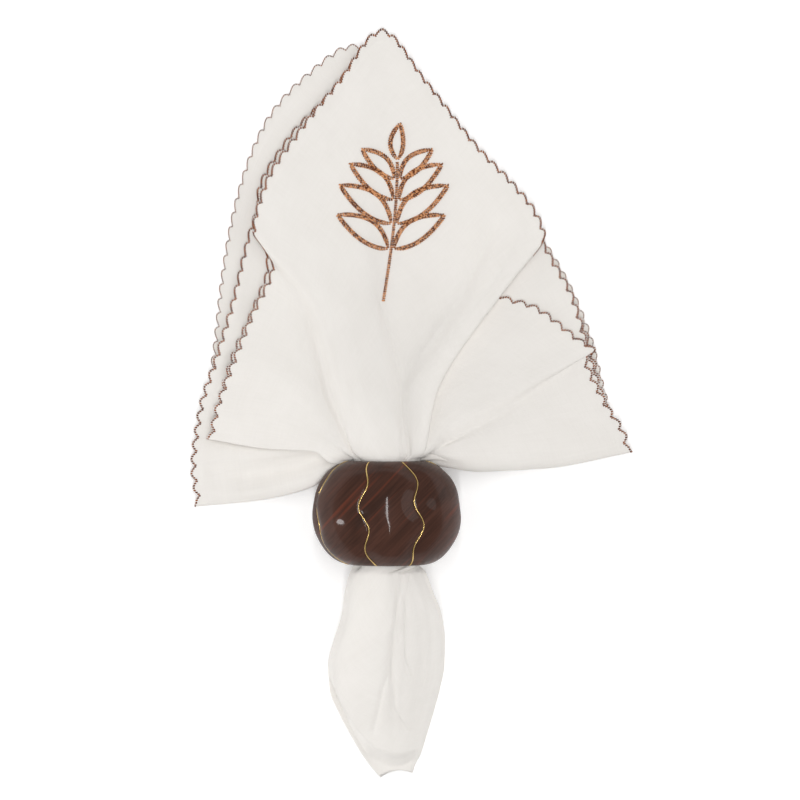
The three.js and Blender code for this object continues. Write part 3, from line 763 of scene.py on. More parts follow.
    def joined(self, strands: Sequence[Array]) -> Array:
        """Join the layers' rows into closed ones, with a rounded edge where two layers meet.

        Args:
            strands: The rows of each layer, in the order of a trip round the cloth.

        Returns:
            The closed rows.
        """
        parts = []
        for index, rows in enumerate(strands):
            after = strands[(index + 1) % len(strands)]
            leaving = rows[:, -1] - rows[:, -3]
            meeting = after[:, 0] - after[:, 2]
            leaving[:, 2] = 0
            meeting[:, 2] = 0
            out = unit(unit(leaving) + unit(meeting))
            start, end = rows[:, -1], after[:, 0]
            middle, half = (start + end) / 2, (start - end) / 2
            apart = np.linalg.norm(half, axis=1, keepdims=True)
            bulge = np.minimum(apart * self.bulge_share, self.edge_bulge)
            parts.append(rows)
            for point in range(1, self.edge_points + 1):
                angle = math.pi * point / (self.edge_points + 1)
                edge = middle + half * math.cos(angle) + out * bulge * math.sin(angle)
                parts.append(edge[:, None])
        return np.concatenate(parts, axis=1)

    def build(self, material: Material) -> Thing:
        """Make the cloth as one closed shell with its own UV map.

        Args:
            material: The linen.

        Returns:
            The napkin.
        """
        trip = ((Layer.FRONT, True), (Layer.BACK, False), (Layer.THIRD, True), (Layer.SECOND, False))
        strands = [self.strand(layer, forward) for layer, forward in trip]
        front, back, third, second = strands
        self.pleat(second, front, up=True)
        self.pleat(third, back, up=False)
        body = self.joined([strand.rows for strand in strands])
        hem = self.joined([strand.hem_rows for strand in strands])
        cap = self.tail_cap(body[0])
        body = np.concatenate([cap, body])
        uv_body, uv_hem = self.flat_places(strands, body, hem)
        places = self.hem_places(strands)
        shell = Shell(body, hem, places, np.array(self.tail_end), self.thickness)
        points, faces, flat = shell.make(uv_body, uv_hem)
        napkin = new_piece("napkin_cloth", points, faces, material)
        lay_flat(napkin.data, flat * MM)
        self.edge_loops = {
            "edge": hem[-1],
            "inside": hem[-3],
            "normal": shell.hem_normals[-1],
            "reach": np.concatenate([
                np.full(len(strand.hem_shares) + self.edge_points,
                        self.thin_hem if strand.layer is Layer.BACK else 1.0)
                for strand in strands
            ]),
        }
        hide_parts("napkin")
        return napkin

    def tail_cap(self, ring: Array) -> Array:
        """Rows that round the tail off to its end."""
        end = np.array(self.tail_end)
        rows = []
        for angle in np.radians(self.cap_angles):
            row = end + (ring - end) * math.sin(angle)
            row[:, 1] = end[1] + (ring[:, 1] - end[1]) * (1 - math.cos(angle))
            rows.append(row)
        return np.array(rows)

    def hem_places(self, strands: Sequence[Strand]) -> Array:
        """The place of each of the hem's fine columns among the coarse columns."""
        places = []
        first = 0
        for strand in strands:
            numbers = np.arange(len(strand.shares))
            order = slice(None) if strand.forward else slice(None, None, -1)
            local = np.interp(strand.hem_shares[order], strand.shares[order], numbers)
            if not strand.forward:
                local = len(numbers) - 1 - local[::-1]
            places.extend(first + local)
            first += len(numbers)
            places.extend(first + point for point in range(self.edge_points))
            first += self.edge_points
        return np.array(places)

    def flat_places(self, strands: Sequence[Strand], body: Array, hem: Array) -> tuple[Array, Array]:
        """Work out where each point lies on the flat square cloth, in millimetres.

        Args:
            strands: The layers, in the order of a trip round the cloth.
            body: The closed rows from the tail's end to the hem's inner line.
            hem: The closed rows of the hem.

        Returns:
            The places of the body's points and those of the hem's.
        """
        def directions(of: str) -> Array:
            corners = []
            for quarter, strand in enumerate(strands):
                shares = getattr(strand, of)
                turn = shares if strand.forward else 1 - shares
                x = np.where(turn <= 0.5, 1, 2 - 2 * turn)
                y = np.where(turn <= 0.5, 2 * turn, 1)
                x = np.concatenate([x, np.zeros(self.edge_points)])
                y = np.concatenate([y, np.ones(self.edge_points)])
                for _ in range(quarter):
                    x, y = -y, x
                corners.append(np.column_stack([x, y]))
            return np.concatenate(corners) * self.side / 2

        end = np.array(self.tail_end)
        steps = np.linalg.norm(np.diff(body, axis=0, prepend=end[None, None] + 0 * body[:1]), axis=2)
        run = np.cumsum(steps, axis=0)
        total = run[-1] + self.coarse_inset
        uv_body = (run / total)[..., None] * directions("shares")[None]
        insets = np.array(self.hem_insets)[:, None]
        half = self.side / 2
        uv_hem = (1 - insets / half)[..., None] * directions("hem_shares")[None]
        return uv_body, uv_hem


@dataclass
class Shell:
    """A closed row of rows given a thickness, closed at its end and along its hem."""

    body: Array
    hem: Array
    places: Array
    end: Array
    thickness: float
    hem_normals: Array = None

    def row_normals(self, rows: Array) -> Array:
        """Smooth normals of closed rows."""
        along = np.gradient(rows, axis=0)
        around = np.roll(rows, -1, axis=1) - np.roll(rows, 1, axis=1)
        normals = unit(np.cross(around, along))
        smoothed = normals + 0.5 * (np.roll(normals, 1, axis=1) + np.roll(normals, -1, axis=1))
        return unit(smoothed)

    def make(self, uv_body: Array, uv_hem: Array) -> tuple[Array, list, Array]:
        """Make the shell's points and faces.

        Args:
            uv_body: The flat place of each body point.
            uv_hem: The flat place of each hem point.

        Returns:
            The points, the faces, and the flat place of each point.
        """
        body_normals = self.row_normals(self.body)
        self.hem_normals = self.row_normals(self.hem)
        rows, count = self.body.shape[:2]
        hem_rows, hem_count = self.hem.shape[:2]
        points, flat, faces = [], [], []
        edges = []
        size = 0
        for side in (1, -1):
            offset = side * self.thickness / 2
            body = (self.body + body_normals * offset).reshape(-1, 3)
            hem = (self.hem + self.hem_normals * offset).reshape(-1, 3)
            end = self.end + np.array([0, -offset, 0])
            points.extend([body, hem, end[None]])
            flat.extend([uv_body.reshape(-1, 2), uv_hem.reshape(-1, 2), np.zeros((1, 2))])
            body_start, hem_start = size, size + rows * count
            pole = hem_start + hem_rows * hem_count
            size = pole + 1
            skin = []
            for k in range(count):
                skin.append((pole, body_start + (k + 1) % count, body_start + k))
            skin.extend(grid_faces(body_start, rows, count))
            skin.extend(grid_faces(hem_start, hem_rows, hem_count))
            last = body_start + (rows - 1) * count
            skin.extend(zip_faces(last, count, hem_start, hem_count, self.places))
            faces.extend(skin if side > 0 else [face[::-1] for face in skin])
            edges.append(hem_start + (hem_rows - 1) * hem_count)
        outer, inner = edges
        for k in range(hem_count):
            after = (k + 1) % hem_count
            faces.append((outer + k, outer + after, inner + after, inner + k))
        points = np.concatenate(points)
        faces = outward(points, faces)
        return points, faces, np.concatenate(flat)


def grid_faces(start: int, rows: int, count: int) -> list:
    """Faces between closed rows of points.

    Args:
        start: The number of the first point.
        rows: How many rows there are.
        count: How many points a row has.

    Returns:
        The faces.
    """
    faces = []
    for row in range(rows - 1):
        low, high = start + row * count, start + (row + 1) * count
        for k in range(count):
            after = (k + 1) % count
            faces.append((low + k, low + after, high + after, high + k))
    return faces


def zip_faces(coarse: int, count: int, fine: int, fine_count: int, places: Array) -> list:
    """Triangles between a coarse closed row and a fine one, taken in the order of their places.

    Args:
        coarse: The number of the coarse row's first point.
        count: How many points it has.
        fine: The number of the fine row's first point.
        fine_count: How many points it has.
        places: The place of each fine point among the coarse ones.

    Returns:
        The faces.
    """
    faces = []
    k = f = 0
    while k < count or f < fine_count:
        next_fine = places[f + 1] if f + 1 < fine_count else count
        if f < fine_count and (k >= count or next_fine <= k + 0.5):
            faces.append((coarse + k % count, fine + (f + 1) % fine_count, fine + f % fine_count))
            f += 1
        else:
            faces.append((coarse + k % count, coarse + (k + 1) % count, fine + f % fine_count))
            k += 1
    return faces


def outward(points: Array, faces: list) -> list:
    """Turn a closed mesh's faces so that they point outwards."""
    corners = np.array([face[:3] for face in faces])
    a, b, c = (points[corners[:, k]] for k in range(3))
    volume = np.einsum("ij,ij->i", a, np.cross(b, c)).sum()
    return faces if volume > 0 else [face[::-1] for face in faces]


def lay_flat(mesh: bpy.types.Mesh, flat: Array) -> None:
    """Give a mesh a UV map from the flat place of each of its points."""
    layer = mesh.uv_layers.new(name="flat")
    corners = np.empty(len(mesh.loops), np.int32)
    mesh.loops.foreach_get("vertex_index", corners)
    layer.data.foreach_set("uv", flat[corners].astype(np.float32).ravel())


class Shades:
    """A material and the shorthand to wire its nodes."""

    def __init__(self, name: str) -> None:
        """Start a material with its own node tree."""
        self.material = bpy.data.materials.new(name)
        self.material.use_nodes = True
        self.nodes = self.material.node_tree.nodes
        self.links = self.material.node_tree.links
        self.shader = self.nodes["Principled BSDF"]

    def add(self, kind: str, **values: object) -> bpy.types.Node:
        """Add a node.

        Args:
            kind: Its type, without the prefix that shader nodes share.
            values: Its properties, or the values of its inputs.

        Returns:
            The node.
        """
        node = self.nodes.new("ShaderNode" + kind)
        for name, value in values.items():
            if hasattr(node, name):
                setattr(node, name, value)
            else:
                node.inputs[name.replace("_", " ")].default_value = value
        return node

    def join(self, source: Socket, target: Socket) -> None:
        """Link two sockets."""
        self.links.new(source, target)

    def set(self, **values: object) -> Material:
        """Set the shader's inputs.

        Args:
            values: The value of each input, with its name's spaces as underscores.

        Returns:
            The material.
        """
        for name, value in values.items():
            self.shader.inputs[name.replace("_", " ")].default_value = value
        return self.material

    def where(self, source: str, scale: Place, turn: float = 0.0) -> Socket:
        """Read coordinates, turned about Z and scaled.

        Args:
            source: The output of the texture coordinates.
            scale: The scale along each axis.
            turn: The angle in degrees.

        Returns:
            The socket of the vector.
        """
        place = self.add("TexCoord")
        turned = self.add("Mapping")
        turned.inputs["Rotation"].default_value = (0, 0, math.radians(turn))
        scaled = self.add("Mapping")
        scaled.inputs["Scale"].default_value = scale
        self.join(place.outputs[source], turned.inputs["Vector"])
        self.join(turned.outputs[0], scaled.inputs["Vector"])
        return scaled.outputs[0]

    def noise(self, vector: Socket, scale: float, detail: float = 2.0,
              distortion: float = 0.0) -> Socket:
        """Add a noise texture.

        Args:
            vector: Where it is read.
            scale: Its scale.
            detail: How many finer noises are laid over it.
            distortion: How much it is swirled.

        Returns:
            The socket of its value.
        """
        node = self.add("TexNoise", Scale=scale, Detail=detail, Distortion=distortion)
        self.join(vector, node.inputs["Vector"])
        return node.outputs["Fac"]

    def ramp(self, value: Socket, stops: Sequence[tuple[float, Place]]) -> Socket:
        """Turn a value into a colour.

        Args:
            value: The value.
            stops: The place and the colour of each stop.

        Returns:
            The socket of the colour.
        """
        node = self.add("ValToRGB")
        elements = node.color_ramp.elements
        while len(elements) < len(stops):
            elements.new(0.5)
        for element, (position, color) in zip(elements, stops):
            element.position = position
            element.color = (*color, 1)
        self.join(value, node.inputs["Fac"])
        return node.outputs["Color"]

    def mix(self, kind: str, factor: float | Socket, first: Socket,
            second: Socket) -> Socket:
        """Blend two colours.

        Args:
            kind: The way of blending.
            factor: How much of the second there is.
            first: The first colour.
            second: The second colour.

        Returns:
            The socket of the blend.
        """
        node = self.add("Mix", data_type="RGBA", blend_type=kind)
        if isinstance(factor, float):
            node.inputs[0].default_value = factor
        else:
            self.join(factor, node.inputs[0])
        self.join(first, node.inputs[6])
        self.join(second, node.inputs[7])
        return node.outputs[2]

    def math(self, operation: str, first: Socket, second: float | Socket,
             ) -> Socket:
        """Work out a number from two.

        Args:
            operation: The operation.
            first: The first number.
            second: The second one.

        Returns:
            The socket of the result.
        """
        node = self.add("Math", operation=operation)
        self.join(first, node.inputs[0])
        if isinstance(second, (int, float)):
            node.inputs[1].default_value = second
        else:
            self.join(second, node.inputs[1])
        return node.outputs[0]

    def bump(self, height: Socket, distance: float, strength: float = 1.0,
             under: Socket | None = None) -> Socket:
        """Add a bump.

        Args:
            height: Its height.
            distance: The depth in metres of a height of one.
            strength: Its strength.
            under: The normal that it is laid over.

        Returns:
            The socket of the normal.
        """
        node = self.add("Bump", Distance=distance, Strength=strength)
        self.join(height, node.inputs["Height"])
        if under is not None:
            self.join(under, node.inputs["Normal"])
        return node.outputs[0]


@dataclass(frozen=True)
class LinenFinish:
    """Plain woven linen, matt and a little uneven, with slubs along its threads."""

    color: Place = (0.90, 0.868, 0.826)
    slub: Place = (0.865, 0.832, 0.788)
    threads_per_metre: float = 1900.0
    roughness: float = 0.95
    sheen: float = 0.15

    def material(self) -> Material:
        """Make the linen."""
        shades = Shades("linen")
        flat = shades.where("UV", (1, 1, 1))
        along = shades.noise(shades.where("UV", (60, 900, 1)), 1.0, 3)
        across = shades.noise(shades.where("UV", (900, 60, 1)), 1.0, 3)
        uneven = shades.math("MULTIPLY", shades.math("ADD", along, across), 0.5)
        cloud = shades.noise(flat, 45.0, 4)
        blend = shades.math("MULTIPLY", shades.math("ADD", uneven, cloud), 0.5)
        color = shades.ramp(blend, ((0.36, self.slub), (0.62, self.color)))
        shades.join(color, shades.shader.inputs["Base Color"])
        weave = []
        for axis in ("X", "Y"):
            wave = shades.add("TexWave", wave_type="BANDS", bands_direction=axis, Distortion=0.6)
            wave.inputs["Scale"].default_value = self.threads_per_metre / 3.2
            wave.inputs["Detail Scale"].default_value = 2.0
            shades.join(flat, wave.inputs["Vector"])
            weave.append(wave.outputs["Fac"])
        threads = shades.math("MULTIPLY", *weave)
        fine = shades.bump(threads, 0.00012, 0.5)
        coarse = shades.bump(uneven, 0.0005, 0.35, fine)
        soft = shades.bump(shades.noise(flat, 28.0, 3, 0.4), 0.004, 0.12, coarse)
        shades.join(soft, shades.shader.inputs["Normal"])
        return shades.set(Roughness=self.roughness, Sheen_Weight=self.sheen, Specular_IOR_Level=0.2)


@dataclass(frozen=True)
class ThreadFinish:
    """Twisted embroidery thread, spotted at random from a deep tone with painted shade to a painted glint.
    """

    name: str
    # The first colour is the thread's deep tone with painted shade; the second is a painted glint.
    dark: Place
    painted_glint: Place
    metallic: float
    roughness: float

    def material(self) -> Material:
        """Make the thread."""
        shades = Shades(self.name)
        where = shades.where("Object", (1, 1, 1))
        # The noise spots each stitch with painted glints over a deep tone that carries painted shade.
        blend = shades.noise(where, 950.0, 1)
        color = shades.ramp(blend, ((0.42, self.dark), (0.58, self.painted_glint)))
        shades.join(color, shades.shader.inputs["Base Color"])
        twist = shades.bump(shades.noise(where, 5200.0, 1), 0.00012, 0.5)
        shades.join(twist, shades.shader.inputs["Normal"])
        return shades.set(Metallic=self.metallic, Roughness=self.roughness, Specular_IOR_Level=0.2)


@dataclass(frozen=True)
class WoodFinish:
    """Dark red-brown wood under a thick gloss lacquer, with slanting streaks."""

    dark: Place = (0.038, 0.0165, 0.0105)
    middle: Place = (0.070, 0.029, 0.019)
    streak: Place = (0.115, 0.031, 0.017)
    grain_turn: float = -46.0

    def material(self) -> Material:
        """Make the wood."""
        shades = Shades("dark_wood")
        broad = shades.noise(shades.where("Object", (18, 80, 30), self.grain_turn), 1.0, 3, 0.4)
        body = shades.ramp(broad, ((0.32, self.dark), (0.62, self.middle)))
        fine = shades.noise(shades.where("Object", (30, 1100, 120), self.grain_turn), 1.0, 3, 0.2)
        pores = shades.ramp(fine, ((0.35, (0.78, 0.76, 0.76)), (0.6, (1.08, 1.05, 1.05))))
        color = shades.mix("MULTIPLY", 1.0, body, pores)
        lines = shades.noise(shades.where("Object", (12, 420, 40), self.grain_turn), 1.0, 1.0)
        share = shades.ramp(lines, ((0.60, (0, 0, 0)), (0.76, (1, 1, 1))))
        color = shades.mix("MIX", share, color, shades.ramp(broad, ((0, self.streak), (1, self.streak))))
        shades.join(color, shades.shader.inputs["Base Color"])
        shades.join(shades.bump(fine, 0.0001, 0.05), shades.shader.inputs["Normal"])
        return shades.set(
            Roughness=0.5, Specular_IOR_Level=0.05, Coat_Weight=0.26, Coat_IOR=1.5, Coat_Roughness=0.085)


@dataclass(frozen=True)
class BrassFinish:
    """Polished brass wire."""

    color: Place = (0.82, 0.58, 0.22)

    def material(self) -> Material:
        """Make the brass."""
        shades = Shades("brass_wire")
        tarnish = shades.noise(shades.where("Object", (1, 1, 1)), 260.0, 3)
        dull = tuple(0.72 * part for part in self.color)
        color = shades.ramp(tarnish, ((0.35, dull), (0.6, self.color)))
        shades.join(color, shades.shader.inputs["Base Color"])
        return shades.set(Metallic=1.0, Roughness=0.24)


@dataclass(frozen=True)
class FloorFinish:
    """A plain pale floor, lit a little from below."""

    color: Place = (0.95, 0.95, 0.95)
    glow: float = 0.2

    def material(self) -> Material:
        """Make the floor's finish."""
        shades = Shades("floor")
        mottle = shades.noise(shades.where("Object", (1, 1, 1)), 3.0, 2)
        edge = tuple(0.99 * part for part in self.color)
        color = shades.ramp(mottle, ((0.0, edge), (1.0, self.color)))
        shades.join(color, shades.shader.inputs["Base Color"])
        return shades.set(Roughness=0.9, Emission_Color=(1, 1, 1, 1), Emission_Strength=self.glow)


def alone() -> None:
    """Leave edit mode and deselect everything."""
    if bpy.context.object and bpy.context.object.mode != "OBJECT":
        bpy.ops.object.mode_set(mode="OBJECT")
    bpy.ops.object.select_all(action="DESELECT")


def taken(piece: Thing) -> Form:
    """Take a modelled form's points in millimetres and its faces, and remove its object."""
    points = np.array([tuple(vertex.co) for vertex in piece.data.vertices]) / MM
    faces = [tuple(face.vertices) for face in piece.data.polygons]
    bpy.data.objects.remove(piece)
    return points, faces


def stitch_form(length: float, width: float) -> Form:
    """Model one stitch: a short rounded bar along X.

    Args:
        length: Its length.
        width: Its width.

    Returns:
        Its points in millimetres and its faces.
    """
    alone()
    bpy.ops.mesh.primitive_cylinder_add(
        vertices=5, radius=0.5 * width * MM, depth=0.5 * length * MM, rotation=(0, math.pi / 2, 0))
    bpy.ops.object.transform_apply(location=True, rotation=True, scale=True)
    bar = bpy.context.object
    bpy.ops.object.mode_set(mode="EDIT")
    bpy.ops.mesh.select_mode(type="FACE")
    for end in (1, -1):
        bpy.ops.mesh.select_all(action="DESELECT")
        bpy.ops.object.mode_set(mode="OBJECT")
        for face in bar.data.polygons:
            face.select = face.normal.x * end > 0.9
        bpy.ops.object.mode_set(mode="EDIT")
        shift = (end * 0.25 * length * MM, 0, 0)
        bpy.ops.mesh.extrude_region_move(TRANSFORM_OT_translate={"value": shift})
        bpy.ops.transform.resize(value=(1, 0.35, 0.35))
    bpy.ops.object.mode_set(mode="OBJECT")
    return taken(bar)


def hem_stitch_form(reach: float, height: float, width: float) -> Form:
    """Model one hem stitch: a loop that goes over the cloth's edge, open towards -X.

    Args:
        reach: How far it goes in from the edge.
        height: Its height over all.
        width: The thread's width.

    Returns:
        Its points in millimetres and its faces.
    """
    alone()
    bpy.ops.mesh.primitive_torus_add(
        major_segments=8, minor_segments=4, rotation=(math.pi / 2, 0, 0),
        major_radius=0.5 * height * MM, minor_radius=0.5 * width * MM)
    bpy.ops.object.transform_apply(location=True, rotation=True, scale=True)
    loop = bpy.context.object
    bpy.ops.object.mode_set(mode="EDIT")
    bpy.ops.mesh.select_all(action="SELECT")
    bpy.ops.mesh.bisect(plane_co=(0, 0, 0), plane_no=(1, 0, 0), use_fill=True, clear_inner=True)
    bpy.ops.object.mode_set(mode="OBJECT")
    points, faces = taken(loop)
    points[:, 0] *= reach / points[:, 0].max()
    points[:, 0] -= reach
    points[:, 2] *= 0.5 * height / points[:, 2].max()
    return points, faces


def repeated(form: Form, centres: Array, frames: Array) -> Form:
    """Copy a form to many places.

    Args:
        form: Its points and faces.
        centres: The place of each copy.
        frames: The three axes of each copy, one axis to a row.

    Returns:
        The points and faces of all the copies.
    """
    points, faces = form
    placed = np.einsum("pa,nab->npb", points, frames) + centres[:, None]
    size = len(points)
    joined = [tuple(index + copy * size for index in face)
              for copy in range(len(centres)) for face in faces]
    return placed.reshape(-1, 3), joined


@dataclass
class HemStitching:
    """The thread that is sewn closely over the scalloped edge."""

    spacing: float = 0.64
    reach: float = 1.4
    thread: float = 0.8
    cover: float = 0.25
    overhang: float = 0.15
    slant: float = 0.45

    def build(self, napkin: Napkin, material: Material) -> Thing:
        """Sew the hem.

        Args:
            napkin: The cloth.
            material: The thread.

        Returns:
            The stitching.
        """
        loops = napkin.edge_loops
        edge = loops["edge"]
        closed = np.concatenate([edge, edge[:1]])
        run = travelled(closed)
        count = round(run[-1] / self.spacing)
        steps = np.arange(count) * run[-1] / count

        def along(values: Array) -> Array:
            looped = np.concatenate([values, values[:1]])
            return np.column_stack([np.interp(steps, run, looped[:, axis]) for axis in range(3)])

        centres = along(edge)
        up = unit(along(loops["normal"]))
        out = centres - along(loops["inside"])
        out = unit(out - up * np.sum(out * up, axis=1, keepdims=True))
        tangent = np.cross(up, out)
        lean = np.where(np.arange(count) % 2 == 0, self.slant, -self.slant)[:, None] * 0.5
        out = unit(out + tangent * lean)
        frames = np.stack([out, np.cross(up, out), up], axis=1)
        reach = np.interp(steps, run, np.append(loops["reach"], loops["reach"][:1]))[:, None, None]
        form = hem_stitch_form(self.reach, napkin.thickness + 2 * self.cover, self.thread)
        frames = frames * np.concatenate([reach, reach, np.ones_like(reach)], axis=1)
        points, faces = repeated(form, centres + out * self.overhang, frames)
        log.info("hem stitches: %d", count)
        return new_piece("hem_stitching", points, faces, material)


@dataclass
class LeafSprig:
    """A sprig of paired leaves, embroidered in bands of slanting stitches on the front layer."""

    foot: Point = (-2.0, 103.5)
    height: float = 70.0
    lean: float = 7.0
    leaf_places: tuple[float, ...] = (0.37, 0.55, 0.72, 0.87)
    leaf_lengths: tuple[float, ...] = (30.0, 31.5, 27.5, 21.5)
    leaf_width: float = 0.36
    leaf_angle: float = 58.0
    tip_length: float = 18.0
    band: float = 2.6
    step: float = 1.12
    thread: float = 0.92
    end_band: float = 0.55
    end_steps: float = 3.0
    stem_band: float = 1.6
    leaf_samples: int = 40
    leaf_bulge: float = 0.86
    leaf_round: float = 0.9
    leaf_bow: float = 0.05
    leaf_start: Point = (1.6, 0.8)
    angle_at_foot: float = 1.08
    angle_fall: float = 0.3
    top_gap: float = 1.2
    top_turn: float = 4.0
    stem_samples: int = 60
    least_stitches: int = 4
    column_offset: float = 0.21
    stitch_lean: Point = (0.72, 0.7)
    stitch_lift: float = 0.22
    stitch_share: float = 0.68

    def stem(self, share: Array) -> Array:
        """The stem's line in plan, from its foot up."""
        x = self.foot[0] + self.lean * np.sin(share * math.pi / 2)
        return np.column_stack([x, self.foot[1] + self.height * share])

    def leaf(self, base: Array, angle: float, length: float) -> Array:
        """A pointed leaf's outline in plan.

        Args:
            base: Where it leaves the stem.
            angle: Its turn from straight up, in degrees.
            length: Its length.

        Returns:
            The points of its closed outline.
        """
        count = self.leaf_samples
        share = np.concatenate([np.linspace(0, 1, count), np.linspace(1, 0, count)[1:]])
        side = np.concatenate([np.ones(count), -np.ones(count - 1)])
        bulge = np.sin(np.pi * share**self.leaf_bulge) ** self.leaf_round
        width = self.leaf_width * length * 0.5 * bulge
        bow = -self.leaf_bow * length * np.sin(np.pi * share) * np.sign(angle)
        across, up = side * width + bow, share * length
        turn = math.radians(angle)
        x = base[0] + across * math.cos(turn) + up * math.sin(turn)
        y = base[1] - across * math.sin(turn) + up * math.cos(turn)
        return np.column_stack([x, y])

    def paths(self) -> list[tuple[Array, float]]:
        """Every band's path in plan with its width."""
        stem = self.stem(np.linspace(0, 1, self.stem_samples))
        found = [(stem, self.stem_band)]
        for place, length in zip(self.leaf_places, self.leaf_lengths):
            base = self.stem(np.array([place]))[0]
            for side in (-1, 1):
                start = base + np.array([side * self.leaf_start[0], self.leaf_start[1]])
                angle = side * self.leaf_angle * (self.angle_at_foot - self.angle_fall * place)
                found.append((self.leaf(start, angle, length), self.band))
        top = stem[-1] + np.array([0, self.top_gap])
        found.append((self.leaf(top, self.top_turn, self.tip_length), self.band))
        return found

    def build(self, cloth: Thing, material: Material) -> Thing:
        """Sew the sprig onto the cloth.

        Args:
            cloth: The napkin, which the stitches lie on.
            material: The thread.

        Returns:
            The sprig.
        """
        tree = BVHTree.FromObject(cloth, bpy.context.evaluated_depsgraph_get())
        centres, frames = [], []
        for path, band in self.paths():
            run = travelled(path)
            count = max(round(run[-1] / self.step), self.least_stitches)
            steps = (np.arange(count) + 0.5) * run[-1] / count
            plan = np.column_stack([np.interp(steps, run, path[:, axis]) for axis in range(2)])
            ahead = np.gradient(plan, axis=0)
            near = np.full(count, np.inf)
            if band == self.band:
                from_middle = np.abs(np.arange(count) - (count - 1) / 2)
                near = np.minimum((count - 1) / 2 - from_middle, from_middle)
            widths = band * (self.end_band + (1 - self.end_band) * np.clip(near / self.end_steps, 0, 1))
            for at, flat, wide in zip(plan, unit(ahead), widths):
                for side in (-1, 1):
                    across = np.array([-flat[1], flat[0]]) * side
                    spot, normal = self.touch(tree, at + across * wide * self.column_offset)
                    lean = unit(across * self.stitch_lean[0] + flat * self.stitch_lean[1])
                    bar = np.array([*lean, 0])
                    bar = unit(bar - normal * np.dot(bar, normal))
                    centres.append(spot + normal * self.thread * self.stitch_lift)
                    frames.append([bar * wide / self.band, np.cross(normal, bar), normal])
        form = stitch_form(self.band * self.stitch_share, self.thread)
        points, faces = repeated(form, np.array(centres), np.array(frames))
        log.info("sprig stitches: %d", len(centres))
        return new_piece("leaf_sprig", points, faces, material)

    def touch(self, tree: BVHTree, at: Array) -> tuple[Array, Array]:
        """Find the cloth's surface under a point of the plan, and its normal."""
        above = Vector((at[0] * MM, at[1] * MM, ABOVE_ALL))
        spot, normal, _, _ = tree.ray_cast(above, Vector((0, 0, -1)))
        normal = np.array(normal)
        return np.array(spot) / MM, normal if normal[2] > 0 else -normal


